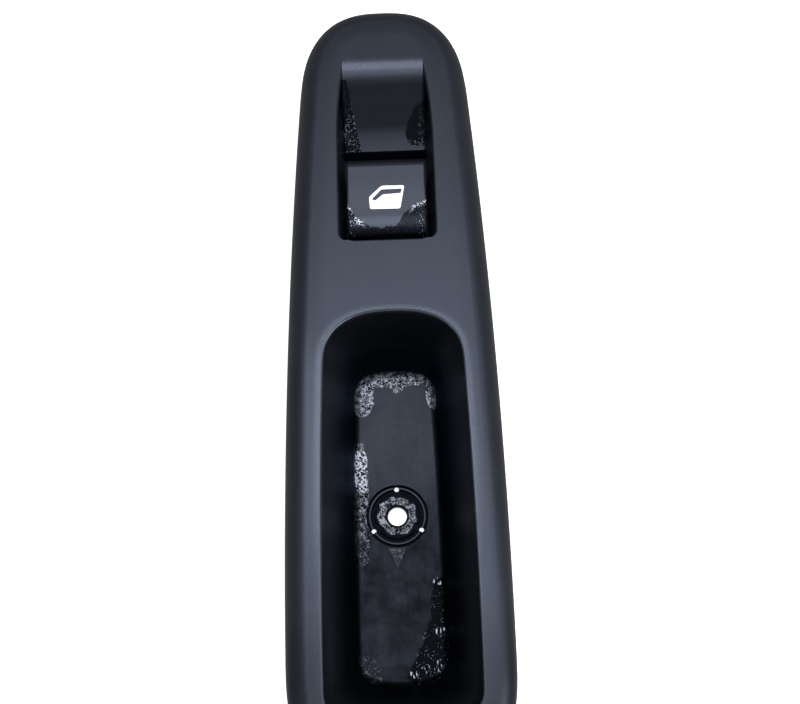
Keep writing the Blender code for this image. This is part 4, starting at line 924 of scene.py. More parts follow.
SLIDER_Z = 16.5
SPRING_START = 6.5
SPRING_STOP = 13.0
SPRING_WIRE = 0.2
SPRING_RADIUS = 1.7
SPRING_TURNS = 5
SCREW_LENGTH = 9.0
SCREW_BELOW_FLANGE = 0.3
SCREW_RADIUS = 1.1
SCREW_PITCH = 1.0
SCREW_HEAD_RADIUS = 2.4
SCREW_HEAD_HEIGHT = 1.6
SCREW_SLOT = (3.0, 0.7)
SCREW_COUNT = 4
PIN_PITCH = 2.5
PIN_HALF = 0.32
PIN_COUNT = 6
PIN_Y = 55.0
PIN_BOTTOM_Z = 1.6
PIN_ABOVE_BOARD = 0.7
SOLDER_RADIUS = 0.85
SOLDER_TOP_RADIUS = 0.4
SOLDER_HEIGHT = 0.55
BOARD_TOP_Z = 12.1
CLIP_HEIGHT = 8.47
CLIP_STRIP = 0.5
CLIP_WIDTH = 7.0
CLIP_BULGE = 1.3
CLIP_GAP = 0.3
CLIP_BEND = 0.06
CLIP_BEND_HEIGHT = 0.35


def make_spring(name, side):
    """A return spring: wire on a helix whose turns close up. Side is its way from the pivot."""
    recipe = Recipe(name)
    radius = recipe.size("Coil radius", SPRING_RADIUS)
    wire = recipe.size("Wire radius", SPRING_WIRE)
    start = recipe.size("Start", SPRING_START)
    reach = recipe.size("Length", SPRING_STOP - SPRING_START)
    turns = recipe.size("Turns", float(SPRING_TURNS))
    line = recipe.node("GeometryNodeCurvePrimitiveLine").outputs[0]
    line = recipe.node("GeometryNodeResampleCurve", Curve=line, Count=SPRING_TURNS * 40 + 1)
    along = Term(recipe.tree, recipe.node("GeometryNodeSplineParameter").outputs[0])
    turn = along * turns * (2 * math.pi)
    travel = start + reach * (along * 0.355 + along.fade(0.0, 1.0) * 0.645)
    ring = recipe.node("GeometryNodeCurvePrimitiveCircle", Resolution=12, Radius=wire).outputs[0]
    x = radius * turn.calc("COSINE")
    z = radius * turn.calc("SINE") + SLIDER_Z
    helix = recipe.placed(line.outputs[0], x, travel * side + PIVOT_Y, z).outputs[0]
    coil = recipe.node("GeometryNodeCurveToMesh", Curve=helix, Profile_Curve=ring, Fill_Caps=True)
    return recipe.finish(coil.outputs[0], FINISHES["spring_steel"])


def make_screws():
    """Four pan-head screws: a thread that runs out at both ends, and a head with a cross slot."""
    recipe = Recipe("housing_screws")
    radius = recipe.size("Core radius", SCREW_RADIUS * 0.8)
    depth = recipe.size("Thread depth", SCREW_RADIUS * 0.2)
    pitch = recipe.size("Thread pitch", SCREW_PITCH)
    length = recipe.size("Length", SCREW_LENGTH)
    head = recipe.size("Head radius", SCREW_HEAD_RADIUS)
    height = recipe.size("Head height", SCREW_HEAD_HEIGHT)

    def thread(u, v):
        z = length * v
        wave = ((z / pitch - u).calc("FRACT") * 2.0 - 1.0).size()
        ridge = (wave.fade(0.0, 0.9) * v.band(0.0, 0.04, 0.86, 0.97)) * depth
        point = v.fade(0.82, 1.0, 1.0, 0.35)
        return radius * point + ridge, z

    def pan(u, v):
        turn = (v.flip() * 1.1).calc("MINIMUM", 1.0) * (math.pi / 2)
        return head * turn.calc("COSINE") ** 0.45, height * turn.calc("SINE") * -1.0

    shaft = recipe.turned(28, 150, thread)
    cut = recipe.node("GeometryNodeMeshBoolean")
    cut.operation = "DIFFERENCE"
    cut.solver = "EXACT"
    recipe.tree.links.new(recipe.turned(48, 24, pan), cut.inputs[0])
    for size in ((*SCREW_SLOT, 2.0), (*reversed(SCREW_SLOT), 2.0)):
        slot = recipe.node("GeometryNodeMeshCube", Size=size).outputs[0]
        slot = recipe.moved(slot, (0.0, 0.0, -SCREW_HEAD_HEIGHT))
        recipe.tree.links.new(slot, cut.inputs[1])
    screw = recipe.joined(shaft, cut.outputs[0])
    places = [(x, y, FLANGE_BOTTOM_Z - SCREW_BELOW_FLANGE) for y in BOSS_Y for x in (-BOSS_X, BOSS_X)]
    screws = [recipe.moved(screw, place, 40.0 * k) for k, place in enumerate(places)]
    return recipe.finish(recipe.joined(*screws), FINISHES["zinc_steel"])


def make_pins():
    """Six square terminal pins with tapered ends, each with its solder on the board."""
    recipe = Recipe("terminal_pins")
    half = recipe.size("Half width", PIN_HALF)
    length = recipe.size("Length", BOARD_TOP_Z + PIN_ABOVE_BOARD - PIN_BOTTOM_Z)
    pitch = recipe.size("Pitch", PIN_PITCH)
    solder = recipe.size("Solder radius", SOLDER_RADIUS)

    def square(u, v):
        ends = v.fade(0.0, 0.1, 0.45, 1.0) * v.fade(0.975, 1.0, 1.0, 0.7)
        return half * math.sqrt(2) * ends, length * v + PIN_BOTTOM_Z

    def mound(u, v):
        radius = v.flip() ** 2.2 * (solder - SOLDER_TOP_RADIUS) + SOLDER_TOP_RADIUS
        return radius, v * SOLDER_HEIGHT + BOARD_TOP_Z

    pin = recipe.moved(recipe.turned(4, 60, square), (0.0, 0.0, 0.0), 45.0)
    joint = recipe.turned(28, 14, mound)
    row = recipe.node(
        "GeometryNodeMeshLine",
        Count=PIN_COUNT,
        Start_Location=((1 - PIN_COUNT) / 2 * PIN_PITCH, PIN_Y, 0.0),
        Offset=recipe.point(pitch, 0.0, 0.0),
    )
    pins = recipe.node(
        "GeometryNodeInstanceOnPoints", Points=row.outputs[0], Instance=recipe.joined(pin, joint)
    )
    return recipe.finish(pins.outputs[0], FINISHES["tinned_brass"])


def make_clips():
    """Four spring clips: a strip bent to a U, with a bulge on each leg and flared ends."""
    recipe = Recipe("panel_clips")
    half = recipe.size("Half gap", TAB_THICK / 2 + CLIP_GAP)
    height = recipe.size("Height", CLIP_HEIGHT)
    bulge = recipe.size("Bulge", CLIP_BULGE)
    width = recipe.size("Width", CLIP_WIDTH)
    strip = recipe.size("Strip", CLIP_STRIP)

    def strip_line(u, v):
        side = u - 0.5
        way = side.calc("SIGN")
        rise = (side.size() - CLIP_BEND).either(0.0) / (0.5 - CLIP_BEND)
        swell = rise.band(0.0, 0.6, 0.68, 0.92) + rise.fade(0.9, 1.0) * 0.2
        middle = (side / CLIP_BEND).calc("MINIMUM", 1.0).either(-1.0) * half
        bend = (side.size() / CLIP_BEND).calc("MINIMUM", 1.0) ** 4.0 * CLIP_BEND_HEIGHT
        return (v - 0.5) * width, middle + way * bulge * swell, height * rise + bend

    sheet = recipe.sheet(96, 2, strip_line)
    outward = recipe.node("GeometryNodeInputNormal").outputs[0]
    thick = recipe.node(
        "GeometryNodeExtrudeMesh", Mesh=sheet, Offset=outward, Offset_Scale=strip, Individual=False
    ).outputs[0]
    back = recipe.node("GeometryNodeFlipFaces", Mesh=sheet).outputs[0]
    whole = recipe.node(
        "GeometryNodeMergeByDistance", Geometry=recipe.joined(thick, back), Distance=1e-4
    ).outputs[0]
    low = TAB_BOTTOM_Z - CLIP_GAP
    clips = [recipe.moved(whole, (x, y, low), 90.0 * quarter) for x, y, quarter in TAB_PLACES]
    return recipe.finish(recipe.joined(*clips), FINISHES["spring_steel"])


def eased_copy(name, nodes, width=0.14, crease=36.0):
    """Copies CAD nodes with merged points, whole flat faces and small rounded edges."""
    shape = bmesh.new()
    for node in nodes:
        shape.from_mesh(frame["nodes"][node].data)
    bmesh.ops.remove_doubles(shape, verts=shape.verts, dist=1e-6)
    flat = math.radians(1.0)
    bmesh.ops.dissolve_limit(shape, angle_limit=flat, verts=shape.verts, edges=shape.edges)
    mesh = bpy.data.meshes.new(name)
    shape.to_mesh(mesh)
    shape.free()
    obj = add_object(name, mesh)
    bevel(obj, width, 2, 42.0)
    return smooth(obj, crease)


# Materials


class Finish:
    """A Principled material with a few helpers. Its patterns are in millimetres on the part."""

    def __init__(self, name, roughness, metallic=0.0, **constants):
        self.material = bpy.data.materials.new(name)
        self.material.use_nodes = True
        self.tree = self.material.node_tree
        self.shader = self.tree.nodes["Principled BSDF"]
        self.set("Roughness", roughness)
        self.set("Metallic", metallic)
        for key, value in constants.items():
            self.set(key.replace("_", " "), value)
        place = self.tree.nodes.new("ShaderNodeTexCoord").outputs["Object"]
        scale = add_node(self.tree, "ShaderNodeVectorMath", Vector=place)
        scale.operation = "SCALE"
        scale.inputs["Scale"].default_value = 1 / MM
        self.place = scale.outputs[0]

    def set(self, key, value):
        plug(self.tree, value, self.shader.inputs[key])

    def axes(self):
        split = add_node(self.tree, "ShaderNodeSeparateXYZ", Vector=self.place)
        return [Term(self.tree, output) for output in split.outputs]

    def noise(self, size, detail=2.0, roughness=0.5, stretch=None):
        """Noise whose features are about one size, in millimetres."""
        place = self.place
        if stretch is not None:
            place = add_node(self.tree, "ShaderNodeMapping", Vector=place, Scale=stretch).outputs[0]
        node = add_node(
            self.tree,
            "ShaderNodeTexNoise",
            Vector=place,
            Scale=1 / size,
            Detail=detail,
            Roughness=roughness,
        )
        return Term(self.tree, node.outputs["Fac"])

    def swing(self, size, reach, detail=2.0, roughness=0.5, stretch=None):
        """Noise that swings about zero, by half the reach at most."""
        return (self.noise(size, detail, roughness, stretch) - 0.5) * reach

    def specks(self, size, core, edge):
        """Scattered round specks, one in each cell of a size, that fade from core to edge."""
        node = add_node(self.tree, "ShaderNodeTexVoronoi", Vector=self.place, Scale=1 / size)
        return Term(self.tree, node.outputs["Distance"]).fall(core, edge)

    def blend(self, share, first, second):
        """A colour between two colours."""
        node = self.tree.nodes.new("ShaderNodeMix")
        node.data_type = "RGBA"
        colours = [(*c, 1.0) if isinstance(c, tuple) else c for c in (first, second)]
        for index, value in zip((0, 6, 7), (share, *colours)):
            plug(self.tree, value, node.inputs[index])
        return node.outputs[2]

    def bump(self, height, strength, depth):
        """Relief on the surface, its depth in millimetres."""
        node = add_node(
            self.tree, "ShaderNodeBump", Height=height, Strength=strength, Distance=depth * MM
        )
        self.set("Normal", node.outputs[0])


WHITE = (1.0, 1.0, 1.0, 1.0)
SATIN = 0.42
POLISHED = 0.2
SLATE = (0.0040, 0.0046, 0.0062)
SLATE_WORN = (0.0056, 0.0064, 0.0084)
SLATE_TINT = (0.64, 0.745, 1.0, 1.0)
# Painted highlight on the pocket's lip.
RIM_HIGHLIGHT_TONE = (0.05, 0.058, 0.075)
# Paler tone for painted sheen.
PALE_SHEEN_TONE = (0.03, 0.034, 0.042)
# Painted shade.
PAINTED_SHADE = (0.0024, 0.0028, 0.0038)
# Dried marks painted dark as their shaded reflection; also painted shade in the seat's recess.
WET_AND_SHADE = (0.0014, 0.0018, 0.0028)
# Pale flecks: painted glints on the grain.
GLINT = (0.62, 0.68, 0.8)
SLATE_SHEEN = {"IOR": 1.6, "Specular_Tint": SLATE_TINT}


def grain_and_tone(made):
    """The fine grain of the moulded plastic, and the faint clouds in its colour."""
    grain = made.noise(0.42, 4.0, 0.7)
    made.bump(grain, 0.3, 0.08)
    return grain, made.blend(made.noise(9.0).fade(0.35, 0.65), SLATE, SLATE_WORN)


def paint_shade_and_glints(made, tone, painted_shade, wet_and_shade, painted_glints, roughness):
    """Paints shade and the dark reflection of wet marks into the colour, with metal that keeps them
    from reflecting, and paints glints as pale rough flecks.
    """
    tone = made.blend(painted_shade, tone, PAINTED_SHADE)
    tone = made.blend(wet_and_shade, tone, WET_AND_SHADE)
    tone = made.blend(painted_glints, tone, GLINT)
    made.set("Base Color", tone)
    made.set("Metallic", painted_shade.either(wet_and_shade * 0.96) * painted_glints.flip())
    made.set("Roughness", roughness.either(painted_glints * 0.6))


# Marks of dried water, painted dark as their shaded reflection, and places of painted glints
Mark = namedtuple("Mark", "x y half_width half_length power")
FLOOR_REACH = (Mark(POCKET_X, -39.0, 13.9, 45.3, 4.0),)
SCOOP_MARK = (Mark(11.5, 68.4, 5.9, 9.4, 1.3),)
TOP_MARKS = (
    Mark(-9.2, -1.5, 3.6, 6.4, 2.0),
    Mark(0.0, 4.0, 13.0, 3.2, 2.0),
    Mark(1.0, 2.0, 2.2, 3.0, 2.0),
    Mark(11.2, -0.5, 1.9, 5.6, 2.0),
)
SIDE_MARK = (Mark(-10.3, -32.8, 2.4, 17.4, 4.0),)
TAIL_MARKS = (Mark(12.0, -80.0, 10.9, 24.0, 1.0), Mark(12.0, -62.5, 3.7, 9.0, 2.0))
# Places of painted glints.
WHITE_BAND = (Mark(-9.9, -23.5, 1.9, 6.2, 3.0),)
TAIL_GLINT_PATCH = (Mark(-9.8, -79.0, 4.4, 4.8, 2.0),)
GLINTS = (
    Mark(11.0, -54.8, 1.6, 1.0, 2.0),
    Mark(10.8, -68.2, 1.3, 1.4, 2.0),
    Mark(9.8, -77.4, 1.3, 1.4, 2.0),
    Mark(6.2, -77.8, 1.3, 1.4, 2.0),
    Mark(3.4, -79.0, 1.3, 1.4, 2.0),
)
RIM_UNIT = 17.0


def within(x, y, marks, ragged):
    """A mask that is one inside any of some rounded marks, with a ragged edge."""
    masks = []
    for mark in marks:
        across = ((x - mark.x).size() / mark.half_width) ** mark.power
        along = ((y - mark.y).size() / mark.half_length) ** mark.power
        masks.append((across + along + ragged).fall(0.93, 1.07))
    return any_of(*masks)


def beyond_rim(x, y):
    """About how many millimetres a place lies outside the pocket's rim."""
    half_width = ((y - RIM_OVAL.widest_y) ** 2.0) * -RIM_OVAL.bow + RIM_OVAL.half_width
    head = (y - (RIM_OVAL.head_y - RIM_OVAL.head_round)) / RIM_OVAL.head_round
    tail = (y * -1.0 + RIM_OVAL.tail_y + RIM_OVAL.tail_round) / RIM_OVAL.tail_round
    end = any_of(head, tail, 0.0)
    across = (x - POCKET_X).size() / half_width
    power = RIM_OVAL.head_power
    outline = (across**power + end**power) ** (1 / power)
    return (outline - 1.0) * RIM_UNIT


def polished_places(x, y, depth, beyond):
    """The pocket's rim, less towards its tail, and the scoop's upper edge."""
    rim = beyond.fall(0.4, 3.0) * depth.fall(0.5, 0.8) * y.fade(-66.0, -14.0, 0.2, 1.0)
    scoop_edge = y.band(84.2, 85.6, 86.6, 88.2) * x.size().fall(11.5, 11.8)
    return rim.either(scoop_edge * 0.75)


def painted_shade_places(made, x, y, z, depth):
    """Painted shade in the scoop and its throat, on the pocket's walls deeper down and at its head
    end, and on the face's tail; on the pocket's floor painted shade, darker towards the tail, with
    random smears and clouds.
    """
    in_scoop = x.size().fall(11.6, 12.4) * depth.fade(0.5, 1.5)
    scoop = y.band(61.0, 71.0, 80.0, 87.0) * in_scoop * y.fade(74.0, 80.0, 0.85, 0.79)
    throat = y.band(62.0, 62.4, 64.6, 65.0) * z.fade(28.6, 29.8, 0.7, 0.0)
    throat = throat * x.size().fall(13.6, 14.0)
    smears = made.swing(1.3, 0.14, 3.0, 0.6, stretch=(1.0, 0.12, 1.0))
    clouds = made.swing(6.0, 0.34) + made.swing(2.2, 0.187, 3.0, 0.6)
    floor = (y.fade(-46.0, -16.0, 0.79, 0.48) + smears + clouds) * z.fall(3.5, 5.0)
    walls = depth.fade(6.0, 26.0, 0.0, 0.88) * z.fade(3.3, 4.2)
    head_end = y.band(3.0, 8.0, 15.0, 15.6) * x.size().fall(19.5, 20.3)
    head_end = head_end * depth.fade(0.9, 1.8, 0.0, 0.55)
    tail_face = y.band(-106.0, -88.0, -80.0, -58.0) * z.fade(31.0, 34.0) * 0.34
    return any_of(scoop, throat, floor, walls, head_end, tail_face)


def seat_places(x, y, z):
    """The way from the screw's axis, the recessed seat round it, and the seat's snap ring."""
    around = ((x**2.0) + (y - SEAT_Y) ** 2.0) ** 0.5
    seat = around.fall(SEAT_RADIUS, SEAT_RADIUS + 0.3) * z.band(0.6, 1.0, 3.1, 3.3)
    inner, outer = SEAT_RING_INNER, SEAT_RING_OUTER
    ring = around.band(inner - 0.1, inner + 0.05, outer - 0.05, outer + 0.1) * z.fade(2.8, 2.95)
    return around, seat, ring


def scoop_water(made, x, y, z, depth, ragged, coarse):
    """Two dried marks in the scoop, painted dark as their shaded reflection, and a mask of the
    painted glints on them.
    """
    left = (x + (y - 80.2) * 0.19 + 9.9 + ragged).fall(-0.25, 0.25) * y.fall(82.2, 83.4)
    right = within(x, y, SCOOP_MARK, ragged * 0.25) * y.fade(63.8, 64.4)
    slope = (y - SCOOP_REAR_Y).either(0.0) / (SCOOP_FRONT_Y - SCOOP_REAR_Y - SCOOP_EDGE / 2)
    floor_z = (slope**SCOOP_POWER) * WELL_DEPTH + WELL_FLOOR_Z
    inside = y.fade(60.0, 61.0) * x.size().fall(13.6, 13.8) * depth.fade(0.5, 1.5)
    inside = inside * (z - floor_z).fade(-1.0, -0.6)

    # Painted glints on the marks.
    fine = made.specks(0.33, 0.12, 0.24)
    sparse = fine * made.noise(1.1).fade(0.42, 0.55)
    crowded = fine * y.fade(64.0, 69.0, 0.7, 0.0)
    wedge_specks = sparse.either(crowded) * left * y.fade(70.0, 76.5, 1.0, 0.15)
    corner = x.fade(9.3, 10.2).either(y.fall(65.2, 66.4)) * y.fade(70.0, 73.0, 1.0, 0.1)
    corner_specks = sparse.either(coarse) * right * corner
    return left.either(right) * inside, wedge_specks.either(corner_specks) * inside


def floor_water(made, x, y, z, around, seat, ragged, coarse):
    """Dried marks on the pocket's floor, painted dark as their shaded reflection, and a mask of the
    painted glints.
    """
    edge = ragged * 0.6
    on_floor = z.band(2.2, 2.7, 3.6, 6.0) * within(x, y, FLOOR_REACH, 0.0)
    top = within(x, y, TOP_MARKS, edge) * on_floor
    side = within(x, y, SIDE_MARK, edge) * on_floor
    tail = within(x, y, TAIL_MARKS, ragged * 0.15) * on_floor
    under_seat = ((x + 0.2).size() / 2.3 + (y + 45.9) * -0.2 + ragged * 0.12).fall(0.8, 1.1)
    under_seat = under_seat * y.fall(-45.7, -45.3) * y.fade(-52.0, -51.0) * on_floor
    wet_and_shade = any_of(top, side, tail) * seat.flip() * under_seat.flip()

    # Noise for the painted glints.
    coarse_glint_noise = made.noise(0.7) + made.swing(2.6, 0.4)
    glint_noise = made.noise(0.24, 3.0, 0.7) + made.swing(1.5, 0.4)
    streaks = made.noise(0.8, stretch=(1.6, 0.5, 1.0)).fade(0.6, 0.64)
    pad = (around + made.swing(1.6, 2.2, 1.0)).fall(5.2, 5.5) * around.fade(3.2, 3.5)
    pad = pad * seat * z.fade(2.1, 2.2)
    painted_glints = any_of(
        coarse * tail * y.fade(-70.0, -60.0, 1.0, 0.35),
        coarse_glint_noise.fade(0.5, 0.54) * within(x, y, WHITE_BAND, edge) * on_floor,
        glint_noise.fade(0.5, 0.66) * side * y.fade(-50.0, -28.0, 0.45, 1.0) * 0.42,
        glint_noise.fade(0.5, 0.6) * top * 0.75,
        glint_noise.fade(0.48, 0.62) * pad * 0.45,
        glint_noise.fade(0.46, 0.7) * under_seat * 0.14,
        glint_noise.fade(0.56, 0.7) * within(x, y, TAIL_GLINT_PATCH, edge) * on_floor * 0.2,
        streaks * within(x, y, GLINTS, edge) * on_floor,
    )
    return wet_and_shade, painted_glints


def slate_plastic():
    """The panel's grained plastic, with polished rims, a painted highlight on the pocket's lip,
    painted shade in its recesses, a paler band of painted sheen, and dried marks painted dark with
    painted glints.
    """
    made = Finish("grained slate plastic", SATIN, **SLATE_SHEEN)
    x, y, z = made.axes()
    depth = (z - FACE_Z) * -1.0
    beyond = beyond_rim(x, y)
    grain, tone = grain_and_tone(made)
    ragged = made.swing(2.6, 1.2, 3.0) + made.swing(0.7, 0.7)
    coarse = made.specks(0.42, 0.1, 0.2) * made.noise(1.3).fade(0.47, 0.56)

    polish = polished_places(x, y, depth, beyond)
    around, seat, ring = seat_places(x, y, z)
    # Painted shade, a little less on the seat's snap ring.
    painted_shade = painted_shade_places(made, x, y, z, depth) * (ring * seat * -0.45 + 1.0)
    scoop_wet_and_shade, scoop_glints = scoop_water(made, x, y, z, depth, ragged, coarse)
    floor_wet_and_shade, floor_glints = floor_water(made, x, y, z, around, seat, ragged, coarse)
    # The seat's recess outside its snap ring is painted dark with the marks: painted shade.
    wet_and_shade = any_of(scoop_wet_and_shade, floor_wet_and_shade, seat * ring.flip())

    # The pocket's lip is painted lighter: a painted highlight.
    painted_rim_highlight = beyond.fall(0.1, 0.5) * depth.band(-0.1, 0.0, 0.25, 0.6)
    tone = made.blend(painted_rim_highlight * 0.8, tone, RIM_HIGHLIGHT_TONE)
    # A paler band on the left land beside the pocket: painted sheen.
    pale_sheen = x.band(-24.4, -21.8, -19.0, -18.0) * y.band(-62.0, -36.0, -8.0, 14.0)
    tone = made.blend(pale_sheen * depth.fall(1.0, 2.0), tone, PALE_SHEEN_TONE)
    rough = polish.fade(0.0, 1.0, SATIN, POLISHED).either(painted_shade * 0.6)
    rough = rough + (grain - 0.5) * (polish * 0.5 + 0.3)
    paint_shade_and_glints(made, tone, painted_shade, wet_and_shade, scoop_glints.either(floor_glints), rough)
    return made.material


def key_plastic():
    """The key's satin plastic: paler towards its rear, a painted highlight on its front lip, painted
    shade at its front, and a mark along its rolled rear painted dark as its shaded reflection, with
    painted glints.
    """
    made = Finish("satin key plastic", SATIN, **SLATE_SHEEN)
    x, y, _ = made.axes()
    grain, tone = grain_and_tone(made)
    ragged = made.swing(2.2, 2.0, 3.0) + made.swing(0.6, 1.2)
    edge = (((x + 0.6).size() / 11.0) ** 2.4) * 6.4 + 36.9
    edge = edge + x.band(2.0, 5.2, 7.0, 12.5) * 3.1 + x.fade(-11.0, -7.8, 1.9, 0.0)
    # A mark along the rolled rear, painted dark as its shaded reflection.
    inward = edge - y + ragged
    wet_and_shade = inward.fade(-0.15, 0.15)
    # Painted glints on the key's mark.
    fine = made.specks(0.46, 0.16, 0.25) * made.noise(1.2).fade(0.46, 0.54)
    crowd = inward.band(-0.2, 0.1, 0.6, 1.9) * x.size().fade(5.5, 8.0)
    dense = (made.noise(0.4, 3.0) + made.swing(1.6, 0.5)).fade(0.53, 0.6) * crowd
    painted_glints = (fine * wet_and_shade * x.size().fade(7.0, 9.0, 0.08, 0.6)).either(dense)
    # Paler towards the key's rear, and a painted highlight along its front lip.
    pale_sheen = y.fall(43.0, 51.0).either(y.fade(54.6, 55.5, 0.0, 0.5))
    tone = made.blend(pale_sheen * wet_and_shade.flip(), tone, PALE_SHEEN_TONE)
    # Painted shade along the key's front.
    front = y.fade(48.0, 53.0, 0.0, 0.14)
    rough = wet_and_shade.fade(0.0, 1.0, 0.44, 0.36) + (grain - 0.5) * 0.3
    paint_shade_and_glints(made, tone, front, wet_and_shade * 0.76, painted_glints, rough)
    return made.material


def varied(name, colour, roughness, metallic=0.0, spread=0.12, size=0.6, **constants):
    """A finish whose colour, roughness and relief vary a little over the surface."""
    made = Finish(name, roughness, metallic, **constants)
    cloud = made.noise(size, 3.0)
    low = tuple(c * (1 - spread) for c in colour)
    high = tuple(min(c * (1 + spread), 1.0) for c in colour)
    made.set("Base Color", made.blend(cloud.fade(0.3, 0.7), low, high))
    made.set("Roughness", cloud.fade(0.3, 0.7, roughness * 0.85, min(roughness * 1.15, 1.0)))
    made.bump(cloud, 0.12, 0.05)
    return made.material


slate = slate_plastic()
key_satin = key_plastic()
# The ink glows faintly: a painted glow that makes the print read bright white.
white_print = varied(
    "white symbol ink",
    (0.93, 0.94, 0.95),
    0.45,
    spread=0.02,
    Emission_Color=WHITE,
    Emission_Strength=0.15,
)
FINISHES = {
    "black_housing_plastic": varied(
        "black housing plastic",
        (0.004, 0.0044, 0.0052),
        0.6,
        Specular_IOR_Level=0.3,
        Specular_Tint=SLATE_TINT,
    ),
    "natural_acetal": varied("natural acetal", (0.72, 0.71, 0.66), 0.4, spread=0.04),
    "clear_acrylic": varied(
        "clear acrylic", (0.9, 0.93, 0.95), 0.08, spread=0.02, Transmission_Weight=0.9
    ),
    "board_laminate": varied("board laminate", (0.02, 0.13, 0.05), 0.35, Coat_Weight=0.4),
    "spring_bronze": varied("spring bronze", (0.62, 0.38, 0.18), 0.28, 1.0),
    "tinned_brass": varied("tinned brass", (0.72, 0.7, 0.64), 0.26, 1.0),
    "spring_steel": varied("spring steel", (0.5, 0.51, 0.53), 0.3, 1.0),
    "zinc_steel": varied("zinc steel", (0.62, 0.63, 0.65), 0.34, 1.0),
    "led_resin": varied("led resin", (0.85, 0.84, 0.74), 0.25, spread=0.03),
    "resistor_black": varied("resistor black", (0.02, 0.02, 0.022), 0.4),
    "grained_slate_plastic": slate,
    "satin_key_plastic": key_satin,
}


panel = dress(make_panel(), slate)
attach(panel, "panel")
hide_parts("trim_panel")

key = dress(make_key(), key_satin)
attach(key, "rocker")
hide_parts("rocker_cap")

symbol = dress(make_symbol(), white_print)
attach(symbol, "rocker")

CLIPS = ("panel_clip_head", "panel_clip_tail", "panel_clip_left", "panel_clip_right")
MADE_BY_RULE = (
    (make_screws, "zinc_steel", tuple(f"housing_screw_{k}" for k in range(1, SCREW_COUNT + 1))),
    (make_pins, "tinned_brass", tuple(f"terminal_pin_{k}" for k in range(1, PIN_COUNT + 1))),
    (make_clips, "spring_steel", CLIPS),
)
for make, slot, nodes in MADE_BY_RULE:
    piece = make()
    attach(piece, "panel")
    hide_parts(*nodes)

for name, side in (("front", 1.0), ("rear", -1.0)):
    coil = make_spring(f"{name}_coil", side)
    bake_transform(coil)
    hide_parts(f"return_spring_{name}")

EASED = (
    ("module_housing", "panel", "black_housing_plastic", ("switch_housing",), 0.2),
    ("module_cover", "panel", "black_housing_plastic", ("base_cover",), 0.15),
    ("board", "panel", "board_laminate", ("circuit_board",), 0.06),
    ("light_source", "panel", "led_resin", ("backlight_led",), 0.08),
    ("chip_resistors", "panel", "resistor_black", ("resistor_1", "resistor_2"), 0.06),
    ("key_carrier", "rocker", "black_housing_plastic", ("rocker_carrier",), 0.15),
    ("key_light_guide", "rocker", "clear_acrylic", ("light_guide",), 0.1),
    ("slider_block", "slider", "natural_acetal", ("contact_slider",), 0.15),
    (
        "contact_bridges",
        "slider",
        "spring_bronze",
        ("contact_bridge_left", "contact_bridge_centre"),
        0.05,
    ),
)
for name, body, slot, nodes, width in EASED:
    piece = dress(eased_copy(name, nodes, width), FINISHES[slot])
    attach(piece, body)
    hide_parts(*nodes)

slots = {part["node"]: part["material_slot"] for part in frame["record"]["subparts"]}
for name, node in frame["nodes"].items():
    node.data.materials.clear()
    node.data.materials.append(FINISHES[slots[name]])


# Studio


FLOOR_HALF_SIZE = 4000
FLOOR_DROP = 0.05


def make_floor():
    """A pale sheet that the camera sees as nearly white, with a faint shadow on it."""
    shape = bmesh.new()
    bmesh.ops.create_grid(shape, x_segments=1, y_segments=1, size=FLOOR_HALF_SIZE)
    bmesh.ops.translate(shape, vec=(0, 0, -FLOOR_DROP), verts=shape.verts)
    floor = from_bmesh("floor", shape)
    pale = Finish("pale floor", 0.9)
    pale.set("Base Color", (0.9, 0.9, 0.9, 1.0))
    pale.set("Emission Color", WHITE)
    x, y, _ = pale.axes()
    away = ((x**2.0) + (y**2.0)) ** 0.5
    pale.set("Emission Strength", away.fade(300.0, 2000.0, 0.62, 1.0))
    dress(floor, pale.material)
    floor.visible_glossy = False
    floor.visible_diffuse = False


SoftBox = namedtuple("SoftBox", "name azimuth elevation width height power")
SOFT_BOXES = (
    SoftBox("overhead", 90, 85, 0.62, 0.55, 4.6),
    SoftBox("right", 0, 52, 0.35, 0.35, 1.45),
    SoftBox("left", 180, 52, 0.35, 0.35, 0.25),
    SoftBox("low_right", 325, 20, 0.7, 0.45, 5.0),
    SoftBox("low_left", 215, 20, 0.35, 0.25, 0.9),
)
LIGHT_AIM = Vector((0, -0.01, 0.033))
LIGHT_DISTANCE = 0.8
SKY_STRENGTH = 0.37


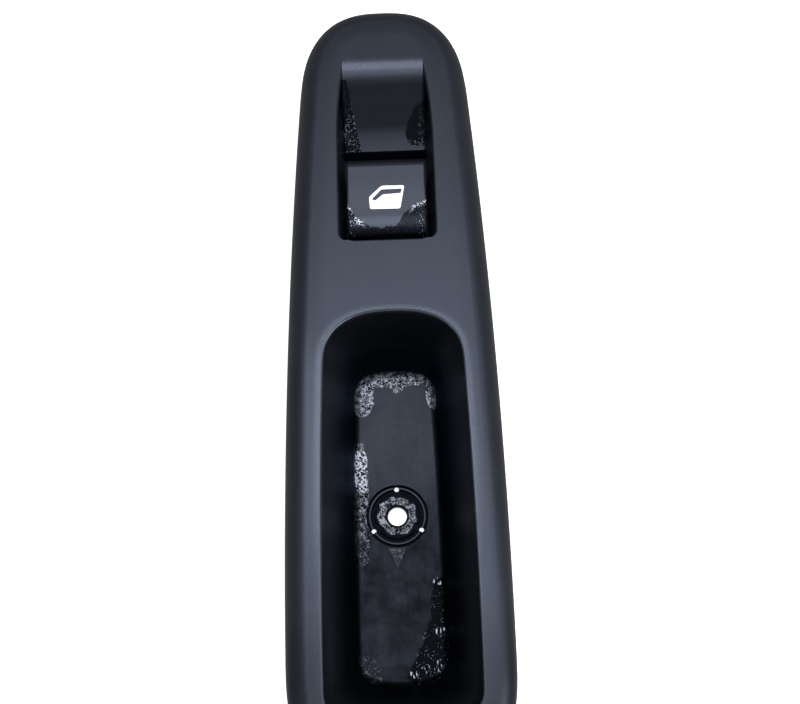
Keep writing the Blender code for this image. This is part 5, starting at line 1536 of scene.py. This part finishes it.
def make_soft_box(light):
    lamp = bpy.data.lights.new(light.name, "AREA")
    lamp.shape = "RECTANGLE"
    lamp.size = light.width
    lamp.size_y = light.height
    lamp.energy = light.power
    turn, rise = math.radians(light.azimuth), math.radians(light.elevation)
    way = Vector((math.cos(rise) * math.cos(turn), math.cos(rise) * math.sin(turn), math.sin(rise)))
    obj = add_object(light.name, lamp)
    obj.location = LIGHT_AIM + way * LIGHT_DISTANCE
    obj.rotation_euler = (-way).to_track_quat("-Z", "Y").to_euler()
    obj.visible_camera = False


def make_world():
    """A dim even sky for the part. The camera sees plain white."""
    world = bpy.data.worlds.new("studio")
    bpy.context.scene.world = world
    world.use_nodes = True
    tree = world.node_tree
    tree.nodes.clear()
    soft = add_node(tree, "ShaderNodeBackground", Strength=SKY_STRENGTH)
    seen = add_node(tree, "ShaderNodeBackground", Color=WHITE)
    path = tree.nodes.new("ShaderNodeLightPath")
    both = tree.nodes.new("ShaderNodeMixShader")
    end = tree.nodes.new("ShaderNodeOutputWorld")
    tree.links.new(path.outputs["Is Camera Ray"], both.inputs[0])
    tree.links.new(soft.outputs[0], both.inputs[1])
    tree.links.new(seen.outputs[0], both.inputs[2])
    tree.links.new(both.outputs[0], end.inputs["Surface"])


CAMERA_LEAN = 16.0
CAMERA_ROLL = -1.9
CAMERA_PLACE = (0.002284, -0.07833, FACE_Z * MM + 0.27877)
CAMERA_LENS = 50
CAMERA_SENSOR = 36


def make_camera():
    """Above the pocket, leaning in degrees towards the key, with a slight roll."""
    lean = math.radians(CAMERA_LEAN)
    roll = math.radians(CAMERA_ROLL)
    right = Vector((1, 0, 0))
    up = Vector((0, math.cos(lean), math.sin(lean)))
    forward = Vector((0, math.sin(lean), -math.cos(lean)))
    across = math.cos(roll) * right + math.sin(roll) * up
    upright = -math.sin(roll) * right + math.cos(roll) * up
    lens = bpy.data.cameras.new("camera")
    lens.lens = CAMERA_LENS
    lens.sensor_width = CAMERA_SENSOR
    lens.clip_start = 0.01
    camera = add_object("camera", lens)
    camera.matrix_world = Matrix((across, upright, -forward)).transposed().to_4x4()
    camera.location = CAMERA_PLACE
    bpy.context.scene.camera = camera


make_floor()
make_world()
for light in SOFT_BOXES:
    make_soft_box(light)
make_camera()
bpy.context.scene.view_settings.view_transform = "Standard"
